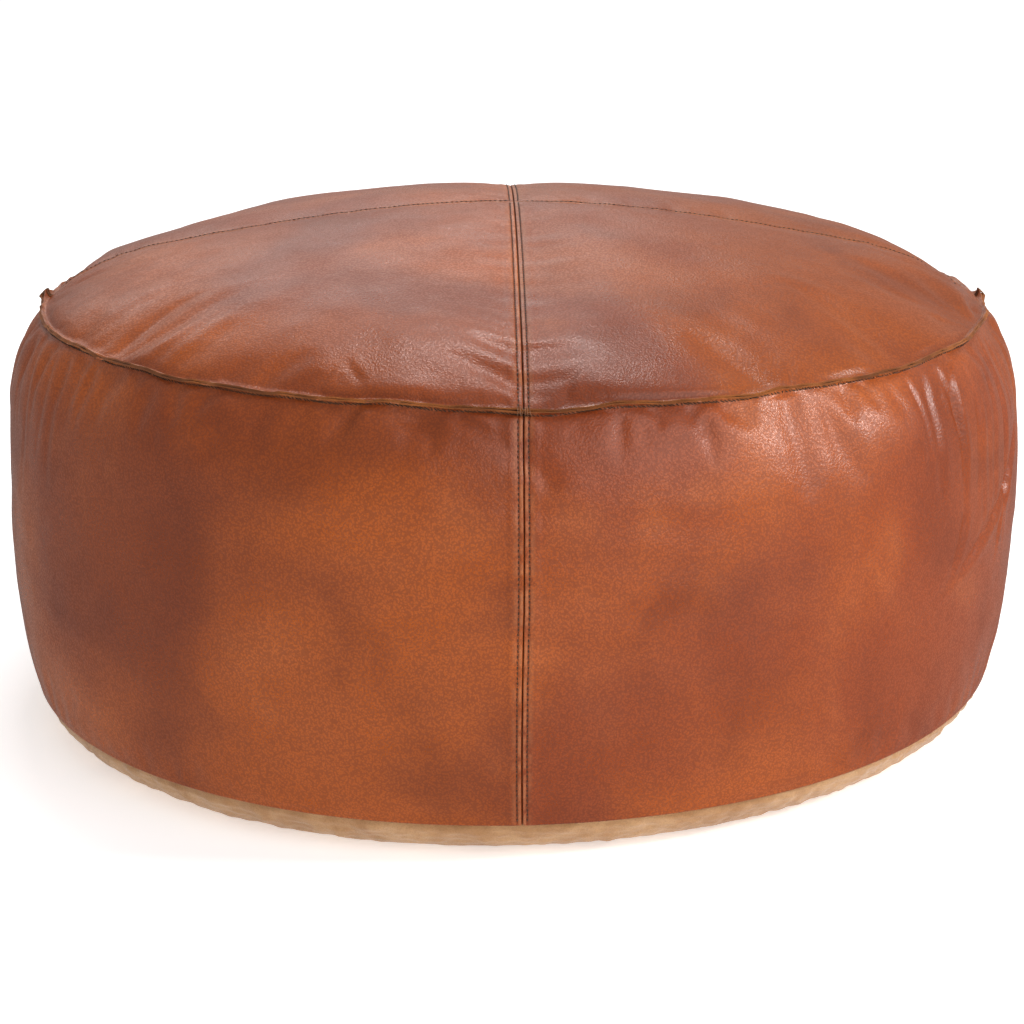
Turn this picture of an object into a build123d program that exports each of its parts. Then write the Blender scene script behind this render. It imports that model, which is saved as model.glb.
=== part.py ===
"""Round stuffed leather pouf: four-quarter crowned top, four side panels, suede base with a zip.

Millimetres, +Z up, origin on the floor under the centre, -Y is the front.
The cover is a surface of revolution made of tangent arcs, cut into sewn panels. Each layer is
the same set of arcs at another depth below the outside of the leather.
"""
from build123d import *
from math import cos, radians, sin
import os

# --- driving dimensions -------------------------------------------------------------------
BELLY_RADIUS = 400.0  # widest radius of the pouf
BELLY_ARC = 890.0  # radius of the nearly upright middle of the side
SHOULDER_ARC = 134.0  # radius of the side's turn towards the rim
LOWER_ARC = 523.0  # radius of the side's turn towards the base seam
FOOT_ARC = 38.0  # radius of the suede's turn under the pouf
BELLY_TOP_DEG = 5.8  # slope of the side where the belly meets the shoulder
RIM_SIDE_DEG = 37.6  # slope of the side at the rim
BELLY_LOW_DEG = -2.6  # slope of the side where the belly meets the lower arc
BASE_SEAM_DEG = -12.3  # slope of the side at the base seam
CROWN_EDGE_ARC = 236.0  # radius of the top's turn towards the rim
RIM_TOP_DEG = 52.0  # slope of the top at the rim, as its normal's height above level
CROWN_TOP_DEG = 76.6  # the same where the edge arc meets the wide flat crown

LEATHER = 1.2  # thickness of the goat leather
SUEDE = 1.4  # thickness of the base suede
COTTON = 0.8  # thickness of the inner bag
SEAM_GAP = 0.1  # half the gap between two panels that meet in a seam
PLY_GAP = 0.05  # half the gap between two layers sewn flat together
ALLOWANCE = 10.0  # width of leather turned under at a seam
ALLOWANCE_BITE = 0.2  # how far the turned leather sinks into its own panel, to be one solid
FLANGE = 7.0  # height of the raw-edged flange round the rim
FLANGE_DEG = 45.0  # how far the flange leans up from level
BASE_LAP = 10.0  # how far the suede runs up behind the side panels

THREAD = 0.8  # diameter of the topstitching thread
ROW_OFFSET = 4.15  # from a seam to each row of topstitching
CROSS_ROW_OFFSET = 4.0  # the crosswise top seam has one row, on its back side
FLANGE_ROW = 2.2  # from the root of the flange to its stitching
BASE_ROW_DEG = 0.45  # base stitching, in degrees of the lower arc above its seam
TACK_PITCH = 3.0  # between the overcast tacks where a seam crosses the rim
TACKS_PER_SEAM = 3

ZIP_LENGTH = 440.0  # between the outer ends of the zip's stops
ZIP_STOP = 3.0  # length of a stop along the zip
GROOVE_LENGTH, GROOVE_WIDTH, GROOVE_DEPTH = 500.0, 54.0, 10.0
GROOVE_SLOPE = 8.0  # how far the groove's walls lean in over its depth
ZIP_SLOT = 12.0  # gap between the two suede edges over the zip's coils
TAPE_WIDTH, TAPE = 15.0, 0.6
COIL_WIDTH, COIL_HEIGHT, COIL_GAP = 2.2, 2.2, 1.2
SLIDER_LENGTH, SLIDER_WIDTH, SLIDER_PLATE = 11.0, 9.6, 1.4
SLIDER_START = 208.0  # the slider's place with the zip closed
BRIDGE_LENGTH, BRIDGE_WIDTH, BRIDGE_HEIGHT = 7.0, 3.6, 3.8
BRIDGE_EYE = 1.1  # radius of the eye that the pull's bar turns in
PULL_LENGTH, PULL_WIDTH, PULL_PLATE, PULL_BAR = 28.0, 8.0, 1.4, 0.9
PULL_DROOP = 8.0  # degrees that the pull hangs below level, its tip just off the floor

# --- depths of the layers below the outside of the leather ----------------------------------
SUEDE_DEPTH = LEATHER + 2 * PLY_GAP
LINER_DEPTH = SUEDE_DEPTH + SUEDE + 0.3
STUFFING_DEPTH = LINER_DEPTH + COTTON + 0.2
BIG = 600.0  # larger than the pouf, for cutting


# --- the outline in the XZ plane: arcs as (centre, radius, from angle, to angle) -------------
def along(centre, distance, degrees):
    """The point at a distance from a centre, in a direction above level."""
    return (centre[0] + distance * cos(radians(degrees)), centre[1] + distance * sin(radians(degrees)))


def side_centres(belly_height):
    """Centres of the belly, shoulder, lower and foot arcs, each tangent to the one before."""
    belly = (BELLY_RADIUS - BELLY_ARC, belly_height)
    shoulder = along(belly, BELLY_ARC - SHOULDER_ARC, BELLY_TOP_DEG)
    lower = along(belly, BELLY_ARC - LOWER_ARC, BELLY_LOW_DEG)
    foot = along(lower, LOWER_ARC - FOOT_ARC, BASE_SEAM_DEG)
    return belly, shoulder, lower, foot


# The underside of the suede is the floor, which sets the height of everything else.
BELLY_HEIGHT = FOOT_ARC - SUEDE_DEPTH - side_centres(0.0)[3][1]
BELLY, SHOULDER, LOWER, FOOT = side_centres(BELLY_HEIGHT)
RIM = along(SHOULDER, SHOULDER_ARC, RIM_SIDE_DEG)
CROWN_EDGE = along(RIM, -CROWN_EDGE_ARC, RIM_TOP_DEG)
CROWN_ARC = CROWN_EDGE_ARC + CROWN_EDGE[0] / cos(radians(CROWN_TOP_DEG))
CROWN = along(CROWN_EDGE, CROWN_EDGE_ARC - CROWN_ARC, CROWN_TOP_DEG)

SIDE_ARCS = [
    (LOWER, LOWER_ARC, BASE_SEAM_DEG, BELLY_LOW_DEG),
    (BELLY, BELLY_ARC, BELLY_LOW_DEG, BELLY_TOP_DEG),
    (SHOULDER, SHOULDER_ARC, BELLY_TOP_DEG, RIM_SIDE_DEG),
]
TOP_ARCS = [
    (CROWN_EDGE, CROWN_EDGE_ARC, RIM_TOP_DEG, CROWN_TOP_DEG),
    (CROWN, CROWN_ARC, CROWN_TOP_DEG, 90.0),
]


def arcs_between(arcs, low, high):
    """The part of a chain of arcs whose slope lies between two angles."""
    kept = [(c, r, max(a, low), min(b, high)) for c, r, a, b in arcs]
    return [arc for arc in kept if arc[3] > arc[2]]


def arc_edge(arc, depth, backwards=False):
    """One arc of the outline as an edge, at a depth below the outside."""
    centre, radius, a, b = arc
    stops = [along(centre, radius - depth, d) for d in (a, (a + b) / 2, b)]
    if backwards:
        stops.reverse()
    return ThreePointArc(*[(r, 0, z) for r, z in stops])


def chain(arcs, depth, backwards=False):
    """A chain of arcs as edges, at a depth below the outside."""
    ordered = list(reversed(arcs)) if backwards else arcs
    return [arc_edge(arc, depth, backwards) for arc in ordered]


def closed_face(edges):
    """A face from edges in order, with straight lines across the gaps between them."""
    joined = []
    for edge, following in zip(edges, edges[1:] + edges[:1]):
        joined.append(edge)
        if ((edge @ 1) - (following @ 0)).length > 1e-6:
            joined.append(Line(edge @ 1, following @ 0))
    return make_face(joined)


def polygon(points):
    """A face in the XZ plane from (radius, height) corners."""
    return make_face(Polyline(*[(r, 0, z) for r, z in points], close=True))


def band(arcs, outer, inner):
    """The face between two depths along a chain of arcs."""
    return closed_face(chain(arcs, outer) + chain(arcs, inner, backwards=True))


def spin(face):
    """A full turn of a face about the vertical axis."""
    return revolve(face, Axis.Z, 360)


def block(x, y, z):
    """A box from three (low, high) pairs."""
    sizes = [high - low for low, high in (x, y, z)]
    middles = [(high + low) / 2 for low, high in (x, y, z)]
    return Pos(*middles) * Box(*sizes)


# --- quarters -------------------------------------------------------------------------------
QUARTERS = {
    "front_left": (-1, -1),
    "front_right": (1, -1),
    "back_left": (-1, 1),
    "back_right": (1, 1),
}


def span(sign, low, high):
    """A (low, high) pair on one side of a seam plane."""
    return (low, high) if sign > 0 else (-high, -low)


def quarter_block(signs):
    """The room of one quarter, short of both seam planes."""
    x, y = (span(s, SEAM_GAP, BIG) for s in signs)
    return block(x, y, (-BIG, BIG))


def allowance_blocks(signs):
    """The strips beside both seam planes where the leather is turned under."""
    narrow = [span(s, SEAM_GAP, ALLOWANCE) for s in signs]
    wide = [span(s, SEAM_GAP, BIG) for s in signs]
    beside_x = block(narrow[0], wide[1], (-BIG, BIG))
    beside_y = block(wide[0], narrow[1], (-BIG, BIG))
    return beside_x + beside_y


# --- the rim flange -------------------------------------------------------------------------
def flange_point(up, across):
    """A point of the flange: up it from its root, and across it towards the crown."""
    at = along(RIM, up, FLANGE_DEG)
    return along(at, across, FLANGE_DEG + 90.0)


def flange_ply(side):
    """The section of one of the flange's two plies: side +1 is the top's, -1 the side panels'."""
    near, far = side * PLY_GAP, side * (PLY_GAP + LEATHER)
    corners = [(-LEATHER, near), (FLANGE, near), (FLANGE, far), (-LEATHER, far)]
    return polygon([flange_point(up, across) for up, across in corners])


def flange_half(side):
    """The half of the plane on one side of the flange's middle, for trimming a panel."""
    foot, tip = flange_point(-150.0, side * PLY_GAP), flange_point(60.0, side * PLY_GAP)
    if side > 0:
        return polygon([foot, tip, (tip[0], BIG), (0, BIG), (0, foot[1])])
    return polygon([foot, (foot[0], -BIG), (BIG, -BIG), (BIG, tip[1]), tip])


# --- leather panels --------------------------------------------------------------------------
def leather_quarters(arcs, allowance_arcs, side):
    """The four panels of the top or of the side, each with its flange ply and allowances."""
    skin = spin((band(arcs, 0, LEATHER) & flange_half(side)) + flange_ply(side))
    turned = spin(band(allowance_arcs, LEATHER - ALLOWANCE_BITE, 2 * LEATHER))
    panels = {}
    for name, signs in QUARTERS.items():
        panels[name] = (skin & quarter_block(signs)) + (turned & allowance_blocks(signs))
    return panels


def top_panels():
    """Four crowned quarters of the top."""
    allowance_arcs = arcs_between(TOP_ARCS, RIM_TOP_DEG + 2.0, 90.0)
    return leather_quarters(TOP_ARCS, allowance_arcs, 1)


def side_panels():
    """Four quarters of the bulging side."""
    clear_of_lap = BASE_SEAM_DEG + 1.6
    allowance_arcs = arcs_between(SIDE_ARCS, clear_of_lap, RIM_SIDE_DEG - 2.0)
    return leather_quarters(SIDE_ARCS, allowance_arcs, -1)


# --- suede base -------------------------------------------------------------------------------
def frustum(grow, low, high):
    """The zip groove's outer shape, grown sideways, between two heights."""
    def rectangle(z):
        lean = 2 * (GROOVE_SLOPE * z / GROOVE_DEPTH - grow)
        return Pos(0, 0, z) * Rectangle(GROOVE_LENGTH - lean, GROOVE_WIDTH - lean)

    return loft([rectangle(low), rectangle(high)])


def base_panels():
    """Two half discs of suede that lap up behind the side and dip into a groove at the zip."""
    lap_deg = BASE_SEAM_DEG + BASE_LAP / radians(1.0) / LOWER_ARC
    arcs = [(FOOT, FOOT_ARC, -90.0, BASE_SEAM_DEG), (LOWER, LOWER_ARC, BASE_SEAM_DEG, lap_deg)]
    turn = closed_face(
        chain(arcs, SUEDE_DEPTH) + chain(arcs, SUEDE_DEPTH + SUEDE, backwards=True)
    )
    disc = Pos(0, 0, SUEDE / 2) * Cylinder(FOOT[0] + 1.0, SUEDE)
    whole = spin(turn) + disc
    whole -= frustum(0.0, -1.0, SUEDE + 1.0)
    walls = frustum(SUEDE, 0.0, GROOVE_DEPTH + SUEDE) - frustum(0.0, -1.0, GROOVE_DEPTH)
    whole += walls
    slot_end = ZIP_LENGTH / 2 + 4.0
    whole -= block((-slot_end, slot_end), (-ZIP_SLOT / 2, ZIP_SLOT / 2), (-1, BIG))
    halves = {}
    for name, sign in (("front", -1), ("back", 1)):
        halves[name] = whole & block((-BIG, BIG), span(sign, SEAM_GAP, BIG), (-1, BIG))
    return halves


# --- inner bag and stuffing ---------------------------------------------------------------------
def plump_body(depth):
    """The solid inside the cover at a depth: under the top's arcs and inside the side's."""
    foot = (FOOT, FOOT_ARC, -90.0, BASE_SEAM_DEG)
    shoulder = (SHOULDER, SHOULDER_ARC, BELLY_TOP_DEG, 65.0)
    side_edges = chain([foot, *SIDE_ARCS[:2], shoulder], depth)
    low, high = (side_edges[0] @ 0).Z, (side_edges[-1] @ 1).Z
    inside_side = closed_face(side_edges + [Line((0, 0, high), (0, 0, low))])
    edge = (CROWN_EDGE, CROWN_EDGE_ARC, 30.0, CROWN_TOP_DEG)
    top_edges = chain([edge, TOP_ARCS[1]], depth)
    skirt = (top_edges[0] @ 0).X
    under_top = closed_face(top_edges + [Line((0, 0, -50), (skirt, 0, -50))])
    return spin(inside_side & under_top)


def zip_channel(grow):
    """The room kept free over the zip for its slider."""
    height = GROOVE_DEPTH + SUEDE + 5.0 + grow
    half_length, half_width = GROOVE_LENGTH / 2 + 2.0 + grow, GROOVE_WIDTH / 2 + 2.0 + grow
    return block((-half_length, half_length), (-half_width, half_width), (-1.0, height))


def inner_liner():
    """Cotton bag round the stuffing."""
    outside = plump_body(LINER_DEPTH) - zip_channel(0.0)
    inside = plump_body(LINER_DEPTH + COTTON) - zip_channel(COTTON)
    return outside - inside


def stuffing():
    """Fibre filling, as one plump solid."""
    return plump_body(STUFFING_DEPTH) - zip_channel(COTTON + 0.2)


# --- stitching ----------------------------------------------------------------------------------
def thread_skin(arcs):
    """The layer just outside the leather where the topstitching lies."""
    return spin(band(arcs, -PLY_GAP - THREAD * 0.6, -PLY_GAP))


def row_blocks(axis, offset, reach):
    """A slab one thread wide beside a seam plane; reach is its (low, high) along the seam."""
    across = (offset - THREAD / 2, offset + THREAD / 2)
    x, y = (across, reach) if axis == "x" else (reach, across)
    return block(x, y, (-BIG, BIG))


def top_stitching():
    """Two rows along the lengthwise top seam, and one row behind the crosswise seam."""
    skin = thread_skin(arcs_between(TOP_ARCS, RIM_TOP_DEG + 0.8, 90.0))
    lengthwise = [skin & row_blocks("x", s * ROW_OFFSET, (-BIG, BIG)) for s in (-1, 1)]
    clear = ROW_OFFSET + THREAD
    crosswise = [
        skin & row_blocks("y", CROSS_ROW_OFFSET, span(s, clear, BIG)) for s in (-1, 1)
    ]
    return lengthwise, crosswise


def side_stitching():
    """Two rows down each of the four upright side seams."""
    skin = thread_skin(arcs_between(SIDE_ARCS, BASE_SEAM_DEG + 0.9, RIM_SIDE_DEG - 1.2))
    seams = {"front": ("x", -1), "back": ("x", 1), "left": ("y", -1), "right": ("y", 1)}
    rows = {}
    for name, (axis, sign) in seams.items():
        reach = span(sign, 0.0, BIG)
        rows[name] = [skin & row_blocks(axis, s * ROW_OFFSET, reach) for s in (-1, 1)]
    return rows


def ring(at, radius):
    """A thread running right round the pouf at one (radius, height)."""
    return Pos(0, 0, at[1]) * Torus(at[0], radius)


def rim_stitching():
    """The flange's stitching, seen as one ring of thread on each of its faces."""
    off_face = PLY_GAP * 2 + LEATHER + THREAD / 2
    return [ring(flange_point(FLANGE_ROW, s * off_face), THREAD / 2) for s in (-1, 1)]


def base_stitching():
    """The ring of thread that holds the side panels over the suede."""
    at = along(LOWER, LOWER_ARC + PLY_GAP + THREAD / 2, BASE_SEAM_DEG + BASE_ROW_DEG)
    return [ring(at, THREAD / 2)]


def rim_tacks():
    """Overcast tacks over the flange where each seam crosses the rim."""
    face = PLY_GAP * 2 + LEATHER
    outer, top = face + THREAD, FLANGE + PLY_GAP + THREAD
    corners = [(2.6, face), (2.6, outer), (top, outer), (top, -outer), (3.4, -outer), (3.4, -face)]
    corners += [(top - THREAD, -face), (top - THREAD, face)]
    section = polygon([flange_point(up, across) for up, across in corners])
    tack = extrude(section, THREAD / 2, both=True)
    middle = (TACKS_PER_SEAM - 1) / 2
    shifts = [(i - middle) * TACK_PITCH for i in range(TACKS_PER_SEAM)]
    return [Rot(0, 0, turn) * Pos(0, s, 0) * tack for turn in (0, 90, 180, 270) for s in shifts]


def zip_stitching():
    """The rows of thread that hold the suede's edges to the zip's tapes."""
    row = ZIP_SLOT / 2 + 2.0
    top = GROOVE_DEPTH - PLY_GAP
    z = (top - THREAD * 0.6, top)
    half = ZIP_LENGTH / 2
    return [block((-half, half), (s * row - THREAD / 2, s * row + THREAD / 2), z) for s in (-1, 1)]


# --- zip -----------------------------------------------------------------------------------------
TAPE_FLOOR = GROOVE_DEPTH + SUEDE + PLY_GAP
COIL_TOP = TAPE_FLOOR - PLY_GAP
COIL_FLOOR = COIL_TOP - COIL_HEIGHT
SLIDER_FLOOR = COIL_FLOOR - 0.4 - SLIDER_PLATE
BAR_HEIGHT = SLIDER_FLOOR - BRIDGE_HEIGHT / 2 - 0.1


def zip_tape(sign):
    """One woven tape, sewn to the inside of the suede."""
    half = ZIP_LENGTH / 2 + 8.0
    across = span(sign, COIL_GAP / 2, COIL_GAP / 2 + TAPE_WIDTH)
    return block((-half, half), across, (TAPE_FLOOR, TAPE_FLOOR + TAPE))


def zip_coil(sign):
    """One nylon coil, as a rounded bar on its tape."""
    half = ZIP_LENGTH / 2 - ZIP_STOP - 0.2
    across = span(sign, COIL_GAP / 2, COIL_GAP / 2 + COIL_WIDTH)
    bar = block((-half, half), across, (COIL_FLOOR, COIL_TOP))
    return fillet(bar.edges().filter_by(Axis.X).group_by(Axis.Z)[0], 0.7)


def zip_stops():
    """The metal clamps at both ends that keep the slider on the coils."""
    half_width = COIL_GAP / 2 + COIL_WIDTH + 0.6
    stops = []
    for sign in (-1, 1):
        x = span(sign, ZIP_LENGTH / 2 - ZIP_STOP, ZIP_LENGTH / 2)
        stops.append(block(x, (-half_width, half_width), (COIL_FLOOR - 0.5, COIL_TOP)))
    return stops


def zip_slider():
    """Slider body: two plates round the coils, side flanges, a dividing web and a bridge."""
    half_length, half_width = SLIDER_LENGTH / 2, SLIDER_WIDTH / 2
    x, y = (-half_length, half_length), (-half_width, half_width)
    lower = block(x, y, (SLIDER_FLOOR, SLIDER_FLOOR + SLIDER_PLATE))
    upper_floor = TAPE_FLOOR + TAPE + 0.4
    upper = block(x, y, (upper_floor, upper_floor + SLIDER_PLATE))
    plates = [fillet(p.edges().filter_by(Axis.Z), 2.4) for p in (lower, upper)]
    body = plates[0] + plates[1]
    flange_in = COIL_GAP / 2 + COIL_WIDTH + 0.5
    for sign in (-1, 1):
        across = span(sign, flange_in, half_width)
        body += block((-3.0, 3.0), across, (SLIDER_FLOOR + 0.5, COIL_TOP - 0.5))
    web = COIL_GAP / 2 - 0.25
    web_x = (half_length - 4.0, half_length - 1.0)
    body += block(web_x, (-web, web), (SLIDER_FLOOR + 0.5, upper_floor + 0.5))
    bridge = block(
        (-BRIDGE_LENGTH / 2, BRIDGE_LENGTH / 2),
        (-BRIDGE_WIDTH / 2, BRIDGE_WIDTH / 2),
        (SLIDER_FLOOR - BRIDGE_HEIGHT, SLIDER_FLOOR + 0.5),
    )
    bridge = fillet(bridge.edges().filter_by(Axis.Y).group_by(Axis.Z)[0], 1.6)
    eye = Pos(0, 0, BAR_HEIGHT) * Rot(90, 0, 0) * Cylinder(BRIDGE_EYE, BRIDGE_WIDTH + 2)
    return Pos(SLIDER_START, 0, 0) * (body + (bridge - eye))


def zip_pull():
    """Pull tab: a bar through the bridge's eye, two arms and a long rounded plate."""
    half = PULL_WIDTH / 2
    arm_in = BRIDGE_WIDTH / 2 + 0.3
    bar = Rot(90, 0, 0) * Cylinder(PULL_BAR, PULL_WIDTH)
    thick = (-PULL_PLATE / 2, PULL_PLATE / 2)
    plate = block((-PULL_LENGTH, -BRIDGE_LENGTH / 2 - 1.2), (-half, half), thick)
    plate = fillet(plate.edges().filter_by(Axis.Z).group_by(Axis.X)[0], 3.2)
    plate -= Pos(-PULL_LENGTH + 5.0, 0, 0) * Cylinder(1.8, PULL_PLATE * 2)
    pull = bar + plate
    for sign in (-1, 1):
        pull += block((-BRIDGE_LENGTH / 2 - 2.0, PULL_BAR), span(sign, arm_in, half), thick)
    return Pos(SLIDER_START, 0, BAR_HEIGHT) * Rot(0, -PULL_DROOP, 0) * pull


# --- write one STEP file per piece ------------------------------------------------------------------
def solids_of(shape):
    """The solids of one shape or of a list of shapes."""
    shapes = shape if isinstance(shape, (list, tuple)) else [shape]
    return [solid for item in shapes for solid in item.solids()]


def save(name, shape):
    """Writes the solids of one named piece."""
    solids = solids_of(shape)
    export_step(solids[0] if len(solids) == 1 else Compound(solids), f"parts/{name}.step")


def main():
    os.makedirs("parts", exist_ok=True)
    for quarter, panel in top_panels().items():
        save(f"top_panel_{quarter}", panel)
    for quarter, panel in side_panels().items():
        save(f"side_panel_{quarter}", panel)
    for half, panel in base_panels().items():
        save(f"base_panel_{half}", panel)
    lengthwise, crosswise = top_stitching()
    save("topstitch_top_lengthwise", lengthwise)
    save("topstitch_top_crosswise", crosswise)
    for seam, rows in side_stitching().items():
        save(f"topstitch_side_{seam}", rows)
    save("rim_stitching", rim_stitching())
    save("rim_tacks", rim_tacks())
    save("base_seam_stitching", base_stitching())
    save("zip_stitching", zip_stitching())
    save("inner_liner", inner_liner())
    save("stuffing", stuffing())
    for half, sign in (("front", -1), ("back", 1)):
        save(f"zip_tape_{half}", zip_tape(sign))
        save(f"zip_coil_{half}", zip_coil(sign))
    save("zip_stops", zip_stops())
    save("zip_slider", zip_slider())
    save("zip_pull", zip_pull())


main()
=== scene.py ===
"""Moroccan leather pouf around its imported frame: sewn leather cover, suede base, zip and filling.

Metres, +Z up, origin on the floor under the centre, -Y is the front. The cover's outline is the
frame's own set of tangent arcs. Cloth simulation gives the sewn panels their fullness and
puckers, and each panel's fine mesh then reads its shape from that one simulated cover.
"""
import math

import bpy
import numpy as np
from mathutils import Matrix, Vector


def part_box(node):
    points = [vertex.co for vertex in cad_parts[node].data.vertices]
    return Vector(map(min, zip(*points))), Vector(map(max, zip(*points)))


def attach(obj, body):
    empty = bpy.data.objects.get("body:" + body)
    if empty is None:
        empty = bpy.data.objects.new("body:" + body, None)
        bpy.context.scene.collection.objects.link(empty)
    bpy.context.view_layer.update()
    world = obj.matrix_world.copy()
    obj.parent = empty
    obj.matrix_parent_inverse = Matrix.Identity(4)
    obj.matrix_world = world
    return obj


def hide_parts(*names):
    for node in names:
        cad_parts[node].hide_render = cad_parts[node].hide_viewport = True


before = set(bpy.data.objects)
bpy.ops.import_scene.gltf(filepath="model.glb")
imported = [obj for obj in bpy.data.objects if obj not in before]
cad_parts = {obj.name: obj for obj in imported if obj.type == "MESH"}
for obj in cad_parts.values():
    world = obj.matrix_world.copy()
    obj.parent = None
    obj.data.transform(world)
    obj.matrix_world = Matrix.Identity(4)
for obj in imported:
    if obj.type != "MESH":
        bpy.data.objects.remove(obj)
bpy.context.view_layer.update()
MM = 0.001

# --- the cover's outline, as in the frame, in millimetres and degrees of slope -----------------
BELLY_RADIUS = round(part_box("side_panel_front_right")[1].x / MM, 1)
BELLY_ARC, SHOULDER_ARC, LOWER_ARC, FOOT_ARC = 890.0, 134.0, 523.0, 38.0
BELLY_TOP_DEG, RIM_SIDE_DEG, BELLY_LOW_DEG, BASE_SEAM_DEG = 5.8, 37.6, -2.6, -12.3
CROWN_EDGE_ARC, RIM_TOP_DEG, CROWN_TOP_DEG = 236.0, 52.0, 76.6
LEATHER, SUEDE = 1.2, 1.4
SUEDE_DEPTH = LEATHER + 0.1
FLANGE_DEG = 45.0
FLANGE_TALL = 6.6


def along(centre, distance, degrees):
    """The (radius, height) point at a distance from a centre, in a direction above level."""
    angle = np.radians(degrees)
    return np.array([centre[0] + distance * np.cos(angle), centre[1] + distance * np.sin(angle)])


def side_centres(belly_height):
    """Centres of the belly, shoulder, lower and foot arcs, each tangent to the one before."""
    belly = np.array([BELLY_RADIUS - BELLY_ARC, belly_height])
    shoulder = along(belly, BELLY_ARC - SHOULDER_ARC, BELLY_TOP_DEG)
    lower = along(belly, BELLY_ARC - LOWER_ARC, BELLY_LOW_DEG)
    foot = along(lower, LOWER_ARC - FOOT_ARC, BASE_SEAM_DEG)
    return belly, shoulder, lower, foot


BELLY, SHOULDER, LOWER, FOOT = side_centres(FOOT_ARC - SUEDE_DEPTH - side_centres(0.0)[3][1])
RIM = along(SHOULDER, SHOULDER_ARC, RIM_SIDE_DEG)
CROWN_EDGE = along(RIM, -CROWN_EDGE_ARC, RIM_TOP_DEG)
CROWN_ARC = CROWN_EDGE_ARC + CROWN_EDGE[0] / math.cos(math.radians(CROWN_TOP_DEG))
CROWN = along(CROWN_EDGE, CROWN_EDGE_ARC - CROWN_ARC, CROWN_TOP_DEG)


class Path:
    """A chain of arcs, walked by distance from its first end."""

    def __init__(self, arcs):
        self.arcs = arcs
        lengths = [r * math.radians(abs(b - a)) for _, r, a, b in arcs]
        self.stops = np.concatenate([[0.0], np.cumsum(lengths)])
        self.length = self.stops[-1]

    def walk(self, distance):
        """(radius, height, slope in degrees) at each distance."""
        distance = np.asarray(distance, float)
        out = np.zeros((3,) + distance.shape)
        for i, (centre, radius, a, b) in enumerate(self.arcs):
            low = -np.inf if i == 0 else self.stops[i]
            high = np.inf if i == len(self.arcs) - 1 else self.stops[i + 1]
            here = (distance >= low) & (distance < high)
            slope = a + np.sign(b - a) * np.degrees((distance - self.stops[i]) / radius)
            out = np.where(here, np.stack([*along(centre, radius, slope), slope]), out)
        return out


TOP = Path(
    [
        (CROWN, CROWN_ARC, 90.0, CROWN_TOP_DEG),
        (CROWN_EDGE, CROWN_EDGE_ARC, CROWN_TOP_DEG, RIM_TOP_DEG),
    ]
)
SIDE = Path(
    [
        (SHOULDER, SHOULDER_ARC, RIM_SIDE_DEG, BELLY_TOP_DEG),
        (BELLY, BELLY_ARC, BELLY_TOP_DEG, BELLY_LOW_DEG),
        (LOWER, LOWER_ARC, BELLY_LOW_DEG, BASE_SEAM_DEG),
    ]
)


# --- smooth random fields --------------------------------------------------------------------
def waves(seed, count, low, high, stretch=(1.0, 1.0, 1.0)):
    """Random plane waves, with wavelengths in millimetres between low and high."""
    rng = np.random.default_rng(seed)
    direction = rng.normal(size=(count, 3))
    direction /= np.linalg.norm(direction, axis=1, keepdims=True)
    direction /= np.array(stretch)
    wavelength = np.exp(rng.uniform(np.log(low), np.log(high), count))
    return direction * (2 * np.pi / wavelength)[:, None], rng.uniform(0, 2 * np.pi, count)


def field(points, wave):
    """A smooth random field at points in millimetres, about -2 to 2."""
    k, phase = wave
    total = np.zeros(points.shape[:-1])
    for kk, p in zip(k, phase):
        total += np.cos(points @ kk + p)
    return total * math.sqrt(2.0 / len(phase))


def smooth(low, high, x):
    """0 below low, 1 above high, and a smooth step between."""
    t = np.clip((x - low) / (high - low), 0.0, 1.0)
    return t * t * (3 - 2 * t)


# --- the simulated cover ------------------------------------------------------------------------
SIM_CELLS = 60  # from the middle of the top to the rim
SIM_ROWS = 56  # from the rim to the base seam
SIM_COLUMNS = 8 * SIM_CELLS
SIM_FRAMES = 18
SIM_REACH = 14.0  # the most that the simulation may move a point
TOP_SEAM_HOLD, SIDE_SEAM_HOLD = 0.6, 0.3  # how firmly the seams keep their place
SIM_SEWN = 7  # the frame by which the rim and the base seam have been drawn in
SIDE_SLACK = {"rim": 0.030, "foot": 0.003, "even": 0.004, "right": 0.014, "left": 0.010}
TOP_SLACK = {"rim": 0.010, "even": 0.001}
GROWTH_HARMONICS, GROWTH_KEPT = 6, 0.15


def disc(a, b):
    """Square to disc, keeping its rings: (distance fraction, angle) for a and b from -1 to 1."""
    wide = np.abs(a) >= np.abs(b)
    safe_a = np.where(np.abs(a) < 1e-12, 1e-12, a)
    safe_b = np.where(np.abs(b) < 1e-12, 1e-12, b)
    turn_a = np.pi / 4 * b / safe_a + np.where(a < 0, np.pi, 0.0)
    turn_b = np.pi / 2 - np.pi / 4 * a / safe_b + np.where(b < 0, np.pi, 0.0)
    return np.maximum(np.abs(a), np.abs(b)), np.where(wide, turn_a, turn_b)


def around(radius, height, angle):
    """Points at (radius, height), turned about the vertical axis."""
    return np.stack([radius * np.cos(angle), radius * np.sin(angle), height + 0 * angle], axis=-1)


def sim_top():
    """The top's plain grid of points."""
    line = np.linspace(-1, 1, 2 * SIM_CELLS + 1)
    a, b = np.meshgrid(line, line, indexing="ij")
    part, angle = disc(a, b)
    r, z, _ = TOP.walk(part * TOP.length)
    return around(r, z, angle)


def sim_side():
    """The side's plain grid of points, row by row down from the rim."""
    angle = np.arange(SIM_COLUMNS) * 2 * np.pi / SIM_COLUMNS
    r, z, _ = SIDE.walk(np.linspace(0, SIDE.length, SIM_ROWS + 1))
    return around(r[:, None], z[:, None], angle[None, :])


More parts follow.
